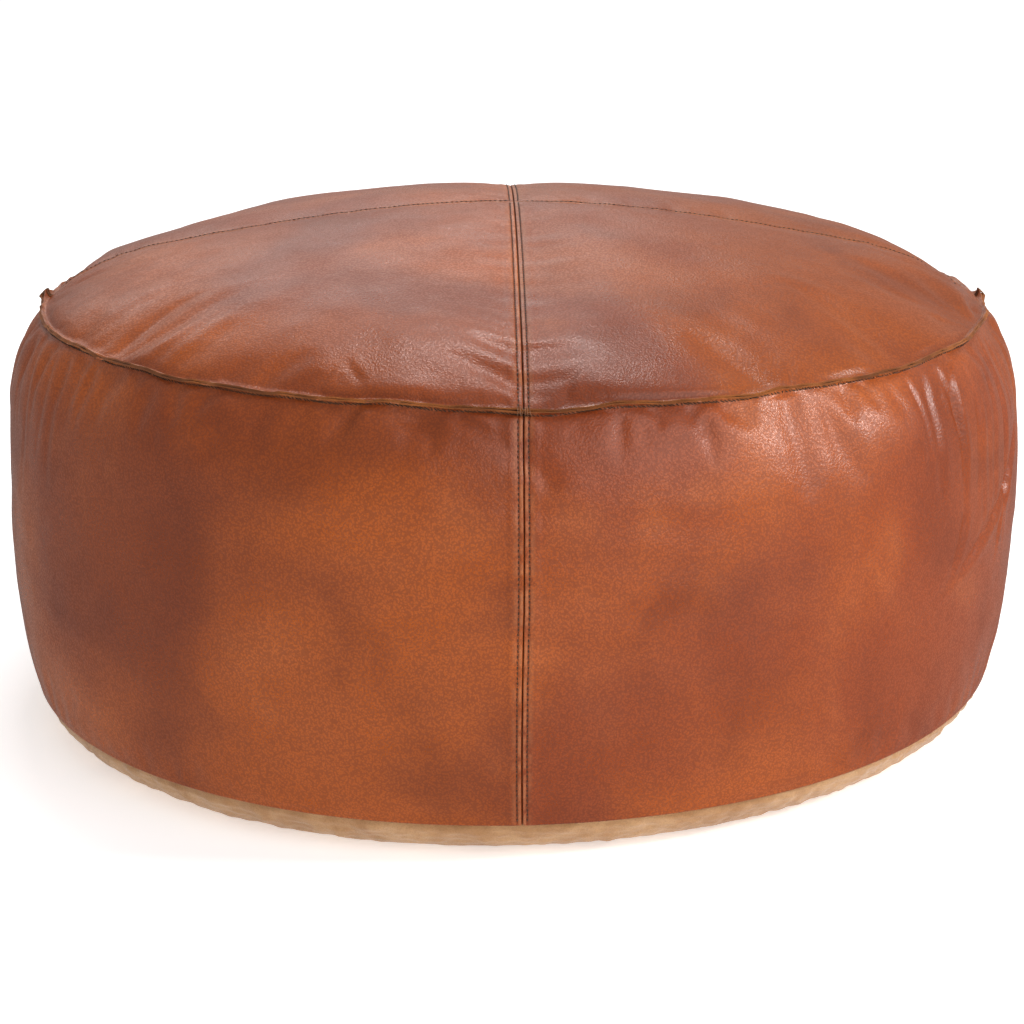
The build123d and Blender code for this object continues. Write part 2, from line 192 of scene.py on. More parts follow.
def ring_order(n):
    """Indices of the outer points of a square grid 2n cells wide, in order of angle from +X."""
    right = [(2 * n, j) for j in range(n, 2 * n)]
    back = [(i, 2 * n) for i in range(2 * n, 0, -1)]
    left = [(0, j) for j in range(2 * n, 0, -1)]
    front = [(i, 0) for i in range(2 * n)]
    rest = [(2 * n, j) for j in range(n)]
    return np.array([i * (2 * n + 1) + j for i, j in right + back + left + front + rest])


def quads(rows, columns, first=0):
    """Faces over a grid of points."""
    grid = first + np.arange(rows * columns).reshape(rows, columns)
    corner = grid[:-1, :-1], grid[1:, :-1], grid[1:, 1:], grid[:-1, 1:]
    return np.stack(corner, axis=-1).reshape(-1, 4)


def ring_quads(rows):
    """Faces between closed rings of points, given as rows of indices."""
    ahead = np.roll(rows, -1, axis=1)
    return np.stack([rows[:-1], rows[1:], ahead[1:], ahead[:-1]], axis=-1).reshape(-1, 4)


def sim_faces():
    """Faces over the top grid and the side rows, sharing the rim, and the rows of indices."""
    size = 2 * SIM_CELLS + 1
    rows = size * size + np.arange(SIM_ROWS * SIM_COLUMNS).reshape(SIM_ROWS, SIM_COLUMNS)
    rows = np.vstack([ring_order(SIM_CELLS)[None], rows])
    return np.vstack([quads(size, size), ring_quads(rows)]), rows


def mesh_from(name, points_mm, faces):
    """A mesh from points in millimetres and a list of faces."""
    mesh = bpy.data.meshes.new(name)
    mesh.from_pydata((points_mm * MM).tolist(), [], faces)
    mesh.update()
    return mesh


def link(name, mesh):
    """A new object in the scene."""
    piece = bpy.data.objects.new(name, mesh)
    bpy.context.scene.collection.objects.link(piece)
    return piece


def slack(points, on_top):
    """How much wider than its place the leather was cut, as a share of its radius."""
    angle = np.degrees(np.arctan2(points[:, 1], points[:, 0]))
    height = points[:, 2]
    uneven = np.clip(1.0 + 0.45 * field(points, waves(5, 14, 90.0, 420.0)), 0.1, 2.2)
    from_rim = np.where(on_top, RIM[0] - np.hypot(points[:, 0], points[:, 1]), RIM[1] - height)
    rim = np.exp(-((from_rim / np.where(on_top, 34.0, 52.0)) ** 2))
    foot = np.exp(-(((height - 28.6) / 40.0) ** 2))
    right = np.exp(-(((angle + 24.0) / 22.0) ** 2))
    left = np.exp(-(((np.mod(angle, 360.0) - 200.0) / 16.0) ** 2))
    side = (SIDE_SLACK["rim"] * rim + SIDE_SLACK["foot"] * foot + SIDE_SLACK["even"]) * uneven
    side = side + SIDE_SLACK["right"] * right + SIDE_SLACK["left"] * left
    return np.where(on_top, (TOP_SLACK["rim"] * rim + TOP_SLACK["even"]) * uneven, side)


def filled_tight(cover):
    """Run the cover as cloth under pressure from inside; its points in millimetres."""
    cloth = cover.modifiers.new("Cloth", "CLOTH")
    settings = cloth.settings
    settings.quality = 4
    settings.mass = 0.01
    settings.tension_stiffness, settings.compression_stiffness = 40.0, 40.0
    settings.shear_stiffness, settings.bending_stiffness = 20.0, 8.0
    settings.tension_damping, settings.compression_damping = 0.1, 0.1
    settings.shear_damping, settings.bending_damping = 0.1, 0.05
    settings.air_damping = 1.0
    settings.use_pressure = True
    settings.uniform_pressure_force = 25.0
    settings.vertex_group_mass = "pins"
    settings.pin_stiffness = 1.0
    settings.effector_weights.gravity = 0.0
    cloth.point_cache.frame_start, cloth.point_cache.frame_end = 1, SIM_FRAMES
    for step in range(1, SIM_FRAMES + 1):
        bpy.context.scene.frame_set(step)
    evaluated = cover.evaluated_get(bpy.context.evaluated_depsgraph_get())
    result = np.zeros(len(evaluated.data.vertices) * 3, np.float32)
    evaluated.data.vertices.foreach_get("co", result)
    return result.reshape(-1, 3) / MM


def simulated_cover():
    """(top grid, side grid) in millimetres, after the leather is filled tight from inside."""
    top, side = sim_top(), sim_side()
    faces, rows = sim_faces()
    points = np.vstack([top.reshape(-1, 3), side[1:].reshape(-1, 3)])
    mesh = mesh_from("cover_sim", points, faces.tolist())
    cover = link("cover_sim", mesh)
    seam = np.minimum(np.abs(points[:, 0]), np.abs(points[:, 1])) < 0.6
    pins = cover.vertex_groups.new(name="pins")
    upper = np.arange(len(points)) < top[..., 0].size
    pins.add(np.flatnonzero(seam & upper).tolist(), TOP_SEAM_HOLD, "REPLACE")
    pins.add(np.flatnonzero(seam & ~upper).tolist(), SIDE_SEAM_HOLD, "REPLACE")
    pins.add(np.concatenate([rows[0], rows[-1]]).tolist(), 1.0, "REPLACE")
    wide = points + field(points, waves(11, 24, 22.0, 60.0))[:, None] * 0.35 * normals_of(points, faces)
    wide[:, :2] *= 1.0 + slack(points, upper)[:, None]
    mesh.vertices.foreach_set("co", (wide * MM).ravel().astype(np.float32))
    cover.shape_key_add(name="Cut")
    sewn = cover.shape_key_add(name="Sewn")
    sewn.data.foreach_set("co", (points * MM).ravel().astype(np.float32))
    for step, value in ((1, 0.0), (SIM_SEWN, 1.0)):
        sewn.value = value
        sewn.keyframe_insert("value", frame=step)
    moved = filled_tight(cover) - points
    distance = np.linalg.norm(moved, axis=1, keepdims=True)
    moved *= SIM_REACH * np.tanh(distance / SIM_REACH) / np.maximum(distance, 1e-9)
    bpy.data.objects.remove(cover)
    bpy.context.scene.frame_set(1)
    points = points + moved
    count = top[..., 0].size
    done = points[count:].reshape(SIM_ROWS, SIM_COLUMNS, 3)
    rim = points[ring_order(SIM_CELLS)][None]
    return points[:count].reshape(top.shape), np.vstack([rim, done])


def normals_of(points, faces):
    """Unit normals at points, from the faces round them."""
    quad = points[faces]
    face = np.cross(quad[:, 2] - quad[:, 0], quad[:, 3] - quad[:, 1])
    total = np.zeros_like(points)
    for corner in range(faces.shape[1]):
        np.add.at(total, faces[:, corner], face)
    return total / np.maximum(np.linalg.norm(total, axis=1, keepdims=True), 1e-12)


# --- reading the simulated cover ------------------------------------------------------------------
def spline_weights(part):
    """Weights of the four grid points round a place, for a smooth cubic reading."""
    rest = 1.0 - part
    inner = (3 * part**3 - 6 * part**2 + 4) / 6
    outer = (3 * rest**3 - 6 * rest**2 + 4) / 6
    return rest**3 / 6, inner, outer, part**3 / 6


def read_grid(grid, row, column, wraps):
    """Values of a grid at fractional rows and columns; its columns may wrap round."""
    i, j = np.floor(row).astype(int), np.floor(column).astype(int)
    total = 0.0
    for step_i, weight_i in zip((-1, 0, 1, 2), spline_weights(row - i)):
        ii = np.clip(i + step_i, 0, grid.shape[0] - 1)
        for step_j, weight_j in zip((-1, 0, 1, 2), spline_weights(column - j)):
            jj = j + step_j
            jj = jj % grid.shape[1] if wraps else np.clip(jj, 0, grid.shape[1] - 1)
            total = total + grid[ii, jj] * (weight_i * weight_j)[..., None]
    return total


def without_growth_side(shift):
    """The side's wrinkles alone, without the even growth that the outline already holds."""
    angle = np.arange(SIM_COLUMNS) * 2 * np.pi / SIM_COLUMNS
    cos, sin = np.cos(angle), np.sin(angle)
    x, y, z = np.moveaxis(shift, -1, 0)
    parts = np.stack([x * cos + y * sin, y * cos - x * sin, z])
    rounds = np.fft.rfft(parts, axis=2)
    rounds[:, :, :GROWTH_HARMONICS] *= GROWTH_KEPT
    out, aside, up = np.fft.irfft(rounds, n=SIM_COLUMNS, axis=2)
    return np.stack([out * cos - aside * sin, out * sin + aside * cos, up], axis=-1)


def without_growth_top(shift):
    """The top's wrinkles alone, without its smooth rise."""
    line = np.linspace(-1, 1, 2 * SIM_CELLS + 1)
    a, b = np.meshgrid(line, line, indexing="ij")
    powers = [(i, j) for i in range(7) for j in range(7 - i)]
    basis = np.stack([(a**i * b**j).ravel() for i, j in powers], axis=1)
    plain = shift.reshape(-1, 3)
    return (plain - basis @ np.linalg.lstsq(basis, plain, rcond=None)[0]).reshape(shift.shape)


SIM_TOP, SIM_SIDE = simulated_cover()
TOP_SHIFT = without_growth_top(SIM_TOP - sim_top())
SIDE_SHIFT = without_growth_side(SIM_SIDE - sim_side())


def top_shift(a, b):
    """How far the simulation moved the top, at a place on its square."""
    place = [(np.clip(x, -1, 1) + 1) * SIM_CELLS for x in (a, b)]
    near_rim = (1 - np.maximum(np.abs(a), np.abs(b))) * TOP.length
    return read_grid(TOP_SHIFT, *place, wraps=False) * smooth(0.0, 9.0, near_rim)[..., None]


def side_shift(angle, down):
    """How far the simulation moved the side, at an angle and a distance down from the rim."""
    row = np.clip(down / SIDE.length, 0, 1) * SIM_ROWS
    column = (angle / (2 * np.pi) % 1.0) * SIM_COLUMNS
    ends = smooth(0.0, 7.0, down) * smooth(0.0, 7.0, SIDE.length - down)
    return read_grid(SIDE_SHIFT, row, column, wraps=True) * ends[..., None]


# --- the fine surface of the cover -----------------------------------------------------------------
SEAM_GAP = 0.12  # between two panels, each side of their seam
ROW_OFFSET = 3.5  # from a seam to the row of stitches beside it
STITCH = 3.8  # from one stitch to the next
CORNER = 2.2  # half of the bend from a panel into the flange
PLY = LEATHER + 0.05
LEAN = 0.0231
LEAN_HEIGHT = 184.0
HEM = 1.35  # radius of the turned-up lower edge
JOINT_DEPTH, JOINT_WIDTH = 1.4, 0.9  # of the seam where it crosses the flange and the hem


def flange_point(up, across):
    """A (radius, height) point of the rim flange: up it, and across it towards the crown."""
    return along(along(RIM, up, FLANGE_DEG), across, FLANGE_DEG + 90.0)


def body_outline(sign, ahead):
    """The plain outline at a distance short of the rim (ahead is negative)."""
    return TOP.walk(TOP.length + ahead) if sign > 0 else SIDE.walk(-ahead)


def bend_points(sign):
    """Start, corner and end of the bend from a panel into its ply of the flange."""
    r, z, slope = body_outline(sign, np.array(-CORNER))
    start, heading = np.array([r, z]), np.radians(slope - sign * 90.0)
    end = flange_point(CORNER, sign * PLY)
    go = np.array([np.cos(heading), np.sin(heading)])
    flange = along((0.0, 0.0), 1.0, FLANGE_DEG)
    reach = np.linalg.solve(np.stack([go, flange], axis=1), end - start)
    return start, start + go * reach[0], end


BENDS = {1: bend_points(1), -1: bend_points(-1)}


def outline_with_flange(sign, ahead):
    """(radius, height, slope) of the visible face; ahead is 0 at the rim, more up the flange."""
    r, z, slope = body_outline(sign, np.minimum(ahead, -CORNER))
    start, corner, end = BENDS[sign]
    w = np.clip((ahead + CORNER) / (2 * CORNER), 0, 1)[..., None]
    bend = (1 - w) ** 2 * start + 2 * w * (1 - w) * corner + w**2 * end
    heading = 2 * (1 - w) * (corner - start) + 2 * w * (end - corner)
    turn = np.degrees(np.arctan2(heading[..., 1], heading[..., 0])) + sign * 90.0
    straight = flange_point(0.0, sign * PLY) + ahead[..., None] * along((0.0, 0.0), 1.0, FLANGE_DEG)
    bending, flat = ahead > -CORNER, ahead > CORNER
    r = np.where(flat, straight[..., 0], np.where(bending, bend[..., 0], r))
    z = np.where(flat, straight[..., 1], np.where(bending, bend[..., 1], z))
    slope = np.where(flat, FLANGE_DEG + sign * 90.0, np.where(bending, turn, slope))
    return r, z, slope


def ring_field(angle, seed, count, low, high):
    """A smooth random field round the rim, with wavelengths in millimetres."""
    rng = np.random.default_rng(seed)
    wavelength = np.exp(rng.uniform(np.log(low), np.log(high), count))
    turns = np.unique(np.round(2 * np.pi * RIM[0] / wavelength))
    phase = rng.uniform(0, 2 * np.pi, len(turns))
    total = sum(np.cos(n * angle + p) for n, p in zip(turns, phase))
    return total * math.sqrt(2.0 / len(turns))


def from_seam(angle, radius):
    """Signed distance to the nearest of the four upright seams."""
    quarter = np.pi / 2
    return (np.mod(angle + quarter / 2, quarter) - quarter / 2) * radius


def rim_wander(angle):
    """How far the rim line strays from its circle: (outwards, up)."""
    at_seam = np.exp(-((from_seam(angle, RIM[0]) / 42.0) ** 2))
    out = 0.7 * ring_field(angle, 21, 9, 90.0, 500.0) + 1.5 * at_seam
    up = 0.8 * ring_field(angle, 22, 12, 60.0, 500.0) - 3.0 * at_seam
    return out, up


def flange_shape(angle):
    """(height, lean towards the crown, opening) of the flange round the rim."""
    lump = np.exp(-((from_seam(angle, RIM[0]) / 14.0) ** 2))
    proud = smooth(-0.9, -0.6, np.sin(angle))  # the front lump is pressed flat
    tall = 2.7 + 0.30 * ring_field(angle, 31, 14, 16.0, 120.0) + (0.8 + 3.6 * proud) * lump
    lean = -0.7 + 0.40 * ring_field(angle, 32, 16, 18.0, 120.0) + 1.0 * lump
    opening = 0.12 + 0.12 * ring_field(angle, 33, 16, 14.0, 90.0) + (0.5 + 1.6 * proud) * lump
    return tall, lean, np.clip(opening, 0.05, 2.4)


def seam_relief(off, rows):
    """Height of the leather beside a seam: turned allowance, ditch and sunk rows of stitches."""
    off = np.abs(off)
    relief = 0.5 * (1 - smooth(7.4, 12.4, off)) - 0.9 * np.exp(-((off / 0.5) ** 2))
    for row in rows:
        relief = relief - 0.28 * np.exp(-(((off - row) / 0.8) ** 2))
    return relief


def fold_family(seed, centre, spread, count, start, length, slant, depth, width):
    """Many like folds about one angle, each (angle, start, angle, end, depth, width)."""
    rng = np.random.default_rng(seed)
    folds = []
    for place in centre + spread * (np.arange(count) + 0.5 - count / 2) / (count / 2):
        first = place + rng.normal(0, 0.35 * spread / count)
        near = rng.uniform(*start)
        far = near + rng.uniform(*length)
        tilt = rng.uniform(*slant)
        folds.append((first, near, first + tilt, far, rng.uniform(*depth), rng.uniform(*width)))
    return folds


def fold_relief(folds, angle, inward):
    """Height of folds in the leather, at an angle and a distance in from the rim."""
    total = 0.0 * angle
    for i, (angle_0, near, angle_1, far, depth, width) in enumerate(folds):
        u = (np.mod(angle - np.radians(angle_0) + np.pi, 2 * np.pi) - np.pi) * RIM[0]
        v = inward - near
        du, dv = math.radians(angle_1 - angle_0) * RIM[0], far - near
        long = math.hypot(du, dv)
        t = (u * du + v * dv) / long**2
        bow = long * 0.05 * math.sin(2.7 * i) * np.sin(np.pi * np.clip(t, 0, 1))
        aside = ((u * dv - v * du) / long + bow + 0.8 * np.sin(t * 5.0 + i)) / width
        valley = np.exp(-(aside**2)) - 0.45 * np.exp(-(((aside - 1.9) / 1.3) ** 2))
        total = total - depth * valley * smooth(-0.02, 0.22, t) * (1 - smooth(0.5, 1.04, t))
    return total


# Each fold: start angle, distance in from the rim, end angle, end distance, depth, width.
SIDE_FOLDS = [
    (-97.4, 1.5, -91.4, 25.0, 1.7, 4.2),
    (-80.2, 3.0, -80.8, 46.0, 1.7, 5.5),
    (-77.0, 2.0, -76.6, 22.0, 1.0, 3.5),
    (-101.6, 3.0, -101.0, 42.0, 0.9, 7.0),
    (-14.0, 70.0, -44.0, 178.0, 2.8, 4.0),
    (-20.5, 96.0, -28.0, 176.0, 2.0, 3.2),
    (-36.0, 112.0, -40.5, 176.0, 1.6, 3.5),
    (-28.0, 124.0, -36.0, 158.0, 1.2, 2.6),
    (-31.5, 30.0, -33.5, 130.0, 1.4, 4.0),
]
# Each family: seed, centre, spread and count, then the ranges of start, length, slant, depth and width.
SIDE_FAMILIES = [
    (41, -24.0, 21.0, 16, (0.0, 5.0), (70.0, 190.0), (-1.5, 1.0), (0.6, 1.9), (3.0, 5.0)),
    (42, 199.0, 19.0, 13, (0.0, 4.0), (60.0, 150.0), (-1.0, 1.0), (0.5, 1.6), (3.0, 5.5)),
    (43, 90.0, 34.0, 15, (0.0, 4.0), (25.0, 110.0), (-2.0, 2.0), (0.3, 1.2), (3.5, 7.0)),
    (44, -90.0, 44.0, 22, (0.0, 2.0), (14.0, 42.0), (-1.0, 1.0), (0.2, 0.8), (3.5, 8.0)),
    (45, 150.0, 22.0, 8, (10.0, 90.0), (50.0, 120.0), (-9.0, 9.0), (0.5, 1.2), (4.0, 9.0)),
]
TOP_FAMILIES = [
    (46, 205.0, 30.0, 9, (2.0, 8.0), (60.0, 150.0), (-5.0, 3.0), (0.3, 0.9), (5.0, 11.0)),
    (47, -20.0, 30.0, 7, (2.0, 8.0), (40.0, 110.0), (-3.0, 5.0), (0.2, 0.6), (5.0, 11.0)),
    (48, 90.0, 60.0, 12, (2.0, 8.0), (30.0, 90.0), (-4.0, 4.0), (0.2, 0.7), (5.0, 10.0)),
    (49, -100.0, 16.0, 5, (2.0, 14.0), (16.0, 40.0), (-5.0, 5.0), (0.25, 0.6), (2.0, 4.0)),
]
SIDE_FOLDS += [fold for family in SIDE_FAMILIES for fold in fold_family(*family)]
TOP_FOLDS = [fold for family in TOP_FAMILIES for fold in fold_family(*family)]


def settle(points):
    """The filled pouf leans: above its lower part it is tipped a little to the right."""
    x, z = points[..., 0], points[..., 2]
    share = np.clip(z / LEAN_HEIGHT, 0, 1)
    tipped = points.copy()
    tipped[..., 0] = x + LEAN * z * share
    tipped[..., 2] = z - LEAN * x * share
    return tipped


def outward(slope, angle):
    """Unit vectors at a slope in degrees above level, turned about the vertical axis."""
    slope = np.radians(slope)
    level = np.cos(slope)
    return np.stack([level * np.cos(angle), level * np.sin(angle), np.sin(slope)], axis=-1)


def finish_surface(sign, angle, ahead, shift, relief, lift):
    """Points in millimetres and unit normals of the cover's outside."""
    tall, lean, opening = flange_shape(angle)
    part = np.clip(ahead, 0, FLANGE_TALL) / FLANGE_TALL
    stretch = (tall - CORNER) / (FLANGE_TALL - CORNER)
    stretched = np.where(ahead > CORNER, CORNER + (ahead - CORNER) * stretch, ahead)
    r, z, slope = outline_with_flange(sign, stretched)
    across = (lean + sign * opening) * part**1.4
    r = r + across * np.cos(np.radians(FLANGE_DEG + 90.0))
    z = z + across * np.sin(np.radians(FLANGE_DEG + 90.0))
    out, up = rim_wander(angle)
    near = np.exp(-((np.minimum(ahead, 0) / 46.0) ** 2))
    r, z = r + out * near, z + up * near
    normal = outward(slope, angle)
    return settle(around(r, z, angle) + shift + normal * (relief + lift)[..., None]), normal


def top_surface(a, b, lift=0.0):
    """The top's outside at places on its square; past 1 is up the flange."""
    part, angle = disc(a, b)
    ahead = (part - 1) * TOP.length
    r = TOP.walk(np.minimum(part, 1) * TOP.length)[0]
    x, y = r * np.cos(angle), r * np.sin(angle)
    flat = 1 - smooth(-4.0, 1.0, ahead)
    long_seam = seam_relief(x, [ROW_OFFSET])
    cross_seam = np.where(y > 0, seam_relief(y, [ROW_OFFSET]), seam_relief(y, []))
    relief = np.where(np.abs(x) < np.abs(y), long_seam, cross_seam)
    both = smooth(0.0, 14.0, np.abs(np.abs(x) - np.abs(y)))
    relief = relief * both + np.minimum(long_seam, cross_seam) * (1 - both)
    joint = np.exp(-((np.minimum(np.abs(x), np.abs(y)) / JOINT_WIDTH) ** 2))
    relief = relief * flat - JOINT_DEPTH * (1 - flat) * joint
    relief = relief + fold_relief(TOP_FOLDS, angle, -np.minimum(ahead, 0.0)) * smooth(0.0, 5.0, -ahead)
    return finish_surface(1, angle, ahead, top_shift(a, b), relief, lift + 0 * angle)


def hem_outline(past):
    """(radius, height, slope) of the side's lower edge, which is turned up inside."""
    r, z, slope = SIDE.walk(np.array(SIDE.length))
    middle = along((r, z), -HEM, slope)
    turn = np.minimum(past / HEM, np.pi)
    bend = along(middle, HEM, slope - np.degrees(turn))
    up = np.maximum(past - np.pi * HEM, 0.0)
    bend = bend + up * along((0.0, 0.0), 1.0, slope + 90.0)[(...,) + (None,) * np.ndim(past)]
    return bend[0], bend[1], slope - np.degrees(turn)


def side_surface(angle, down, lift=0.0):
    """The side's outside at angles and distances down from the rim; less than 0 is up the flange."""
    off = from_seam(angle, SIDE.walk(np.clip(down, 0, SIDE.length))[0])
    ends = smooth(-1.0, 4.0, down) * (1 - smooth(SIDE.length - 1.0, SIDE.length + 3.0, down))
    relief = seam_relief(off, [ROW_OFFSET]) * ends
    relief = relief - JOINT_DEPTH * (1 - ends) * np.exp(-((off / JOINT_WIDTH) ** 2))
    held = smooth(0.0, 5.0, down) * (0.25 + 0.75 * smooth(2.0, 13.0, np.abs(off)))
    relief = relief + fold_relief(SIDE_FOLDS, angle, np.maximum(down, 0.0)) * held
    points, normal = finish_surface(-1, angle, -down, side_shift(angle, down), relief, lift + 0 * angle)
    past = np.maximum(down - SIDE.length, 0.0)
    r, z, slope = hem_outline(past)
    hem_normal = outward(slope, angle)
    hem = settle(around(r, z, angle) + hem_normal * (relief + lift)[..., None])
    folded = (past > 0)[..., None]
    return np.where(folded, hem, points), np.where(folded, hem_normal, normal)


# --- the suede base ---------------------------------------------------------------------------------
LAP_DEPTH = 1.7  # how far the suede sinks where the leather laps it
BASE_LAP = 10.0
BASE_SEAM_WALK = FOOT[0] + (FOOT_ARC - SUEDE_DEPTH) * math.radians(90.0 + BASE_SEAM_DEG)
BASE_LENGTH = BASE_SEAM_WALK + BASE_LAP
GROOVE = (250.0, 27.0, 10.0)  # half length, half width and height of the groove over the zip
GROOVE_SLOPE = 8.0
ZIP_SLOT = 6.0  # from the zip's middle to each edge of the suede
ZIP_HALF = 220.0


def base_walk(distance):
    """(radius, height, slope) of the suede's outside, from the middle of the base to its lap."""
    flat = FOOT[0]
    foot_radius = FOOT_ARC - SUEDE_DEPTH
    turn = np.degrees(np.maximum(distance - flat, 0.0) / foot_radius)
    slope = -90.0 + np.minimum(turn, 90.0 + BASE_SEAM_DEG)
    depth = LAP_DEPTH * smooth(-26.0, -15.0, slope)
    arc = along(FOOT, foot_radius - depth, slope)
    past = np.maximum(distance - BASE_SEAM_WALK, 0.0)
    lap_slope = BASE_SEAM_DEG + np.degrees(past / LOWER_ARC)
    lap = along(LOWER, LOWER_ARC - SUEDE_DEPTH - LAP_DEPTH, lap_slope)
    r = np.where(distance < flat, distance, np.where(past > 0, lap[0], arc[0]))
    z = np.where(distance < flat, 0.0, np.where(past > 0, lap[1], arc[1]))
    return r, z, np.where(past > 0, lap_slope, slope)


def groove_depth(x, y, grow=0.0):
    """Height of the zip's groove above the floor; grow widens it."""
    long_mask = 1 - smooth(GROOVE[0] + grow - GROOVE_SLOPE, GROOVE[0] + grow, np.abs(x))
    wide_mask = 1 - smooth(GROOVE[1] + grow - GROOVE_SLOPE, GROOVE[1] + grow, np.abs(y))
    return GROOVE[2] * long_mask * wide_mask


CREASES = waves(61, 26, 9.0, 46.0, (1.0, 1.0, 0.55))


def base_surface(a, b, lift=0.0):
    """The suede's outside, for one half of the base: b is 0 along the zip and 1 at the lap."""
    part, angle = disc(a, b)
    r, z, slope = base_walk(part * BASE_LENGTH)
    x, y = r * np.cos(angle), r * np.sin(angle)
    straight = np.pi / 4 * BASE_LENGTH * b
    share = 1 - smooth(25.0, 110.0, straight)
    y = y * (1 - share) + straight * share * (r > 0)
    edge = SEAM_GAP + (ZIP_SLOT - SEAM_GAP) * (1 - smooth(ZIP_HALF + 1.0, ZIP_HALF + 7.0, np.abs(x)))
    y = y + edge * (1 - smooth(0.0, 26.0, y))
    z = z + groove_depth(x, y)
    normal = outward(slope, angle)
    points = np.stack([x, y, z], axis=-1)
    under_lap = smooth(BASE_SEAM_WALK - 4, BASE_SEAM_WALK, part * BASE_LENGTH)
    band = smooth(-80.0, -52.0, slope) * (1 - under_lap)
    crease = 0.5 * field(points, CREASES) - 0.4
    return points + normal * (band * crease + lift)[..., None], normal


# --- making meshes ---------------------------------------------------------------------------------
def edge_loops(fine, coarse, row_pick, column_pick):
    """Faces that close the cut edges between a fine grid and a coarser one behind it."""
    faces = []
    sides = (
        (fine[0, :], coarse[0, :], column_pick, False),
        (fine[-1, :], coarse[-1, :], column_pick, True),
        (fine[:, 0], coarse[:, 0], row_pick, True),
        (fine[:, -1], coarse[:, -1], row_pick, False),
    )
    for outer, inner, pick, flip in sides:
        for k in range(len(pick) - 1):
            face = list(outer[pick[k] : pick[k + 1] + 1]) + [inner[k + 1], inner[k]]
            faces.append([int(i) for i in (face[::-1] if flip else face)])
    return faces


def pick_lines(distances, step):
    """Indices of the lines kept for the inner face, at least a step apart, with both ends."""
    kept = [0]
    for i, at in enumerate(distances[:-1]):
        if at - distances[kept[-1]] >= step(at) and distances[-1] - at > 0.5 * step(at):
            kept.append(i)
    return kept + [len(distances) - 1]


def shell(name, surface, rows, columns, steps, thickness, materials, facts):
    """A closed sheet of leather: fine outside, plainer inside, and the cut edges between.

    rows and columns are (values, distances in mm), steps the inner face's spacing of each, and
    facts gives the shader's vectors by name.
    """
    row_pick, column_pick = pick_lines(rows[1], steps[0]), pick_lines(columns[1], steps[1])
    u, v = np.meshgrid(rows[0], columns[0], indexing="ij")
    outer, normal = surface(u, v, 0.0)
    iu, iv = np.meshgrid(rows[0][row_pick], columns[0][column_pick], indexing="ij")
    inner, _ = surface(iu, iv, -thickness)
    count = u.size
    faces = quads(*u.shape)
    first = faces[len(faces) // 2]
    flat = outer.reshape(-1, 3)
    facing = np.cross(flat[first[2]] - flat[first[0]], flat[first[3]] - flat[first[1]])
    faces_out = facing @ normal.reshape(-1, 3)[first[0]] > 0
    inner_faces = quads(*iu.shape, first=count)
    fine = np.arange(count).reshape(u.shape)
    coarse = count + np.arange(iu.size).reshape(iu.shape)
    walls = edge_loops(fine, coarse, row_pick, column_pick)
    if faces_out:
        inner_faces = inner_faces[:, ::-1]
    else:
        faces = faces[:, ::-1]
        walls = [face[::-1] for face in walls]
    points = np.vstack([flat, inner.reshape(-1, 3)])
    mesh = mesh_from(name, points, faces.tolist() + inner_faces.tolist() + walls)
    kinds = np.zeros(len(mesh.polygons), np.int32)
    kinds[len(faces) :] = 1
    mesh.polygons.foreach_set("material_index", kinds)
    is_smooth = np.ones(len(mesh.polygons), bool)
    is_smooth[len(faces) + len(inner_faces) :] = False
    mesh.polygons.foreach_set("use_smooth", is_smooth)
    for title, make in facts.items():
        values = np.concatenate([make(u, v).reshape(-1, 3), make(iu, iv).reshape(-1, 3)])
        layer = mesh.attributes.new(title, "FLOAT_VECTOR", "POINT")
        layer.data.foreach_set("vector", values.astype(np.float32).ravel())
    for material in materials:
        mesh.materials.append(material)
    return link(name, mesh)


def rounded(name, points, faces, material):
    """A piece that is shaded smooth all over."""
    mesh = mesh_from(name, points, faces)
    mesh.polygons.foreach_set("use_smooth", np.ones(len(faces), bool))
    mesh.materials.append(material)
    return link(name, mesh)


def keep(piece, node):
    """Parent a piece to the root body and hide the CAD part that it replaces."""
    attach(piece, "root")
    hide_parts(node)


def strands(name, paths, normals, radius, material, sides=8):
    """Threads along paths (many, points, 3) in millimetres, each with rounded ends."""
    paths, normals = np.asarray(paths, float), np.asarray(normals, float)
    many, length, _ = paths.shape
    tangent = np.gradient(paths, axis=1)
    tangent /= np.maximum(np.linalg.norm(tangent, axis=-1, keepdims=True), 1e-9)
    side = np.cross(tangent, normals)
    side /= np.maximum(np.linalg.norm(side, axis=-1, keepdims=True), 1e-9)
    up = np.cross(side, tangent)
    size = np.full(length, radius)
    size[[0, -1]] *= 0.45
    size[[1, -2]] *= 0.85
    turn = np.arange(sides) * 2 * np.pi / sides
    ring = np.cos(turn)[:, None] * up[:, :, None] + np.sin(turn)[:, None] * side[:, :, None]
    points = (paths[:, :, None] + ring * size[:, None, None]).reshape(-1, 3)
    index = np.arange(many * length * sides).reshape(many, length, sides)
    ahead = np.roll(index, -1, axis=2)
    faces = np.stack([index[:, :-1], ahead[:, :-1], ahead[:, 1:], index[:, 1:]], axis=-1).reshape(-1, 4)
    caps = index[:, 0, ::-1].tolist() + index[:, -1].tolist()
    return rounded(name, points, faces.tolist() + caps, material)


# --- materials -------------------------------------------------------------------------------------
def linear(red, green, blue):
    """A colour for a shader, from its 0 to 255 screen values."""
    parts = [c / 255 for c in (red, green, blue)]
    parts = [c / 12.92 if c <= 0.04045 else ((c + 0.055) / 1.055) ** 2.4 for c in parts]
    return (*parts, 1.0)


def shaded(colour, share):
    """A shader colour made darker by a share of its brightness."""
    return tuple(part * share for part in colour[:3]) + (1.0,)


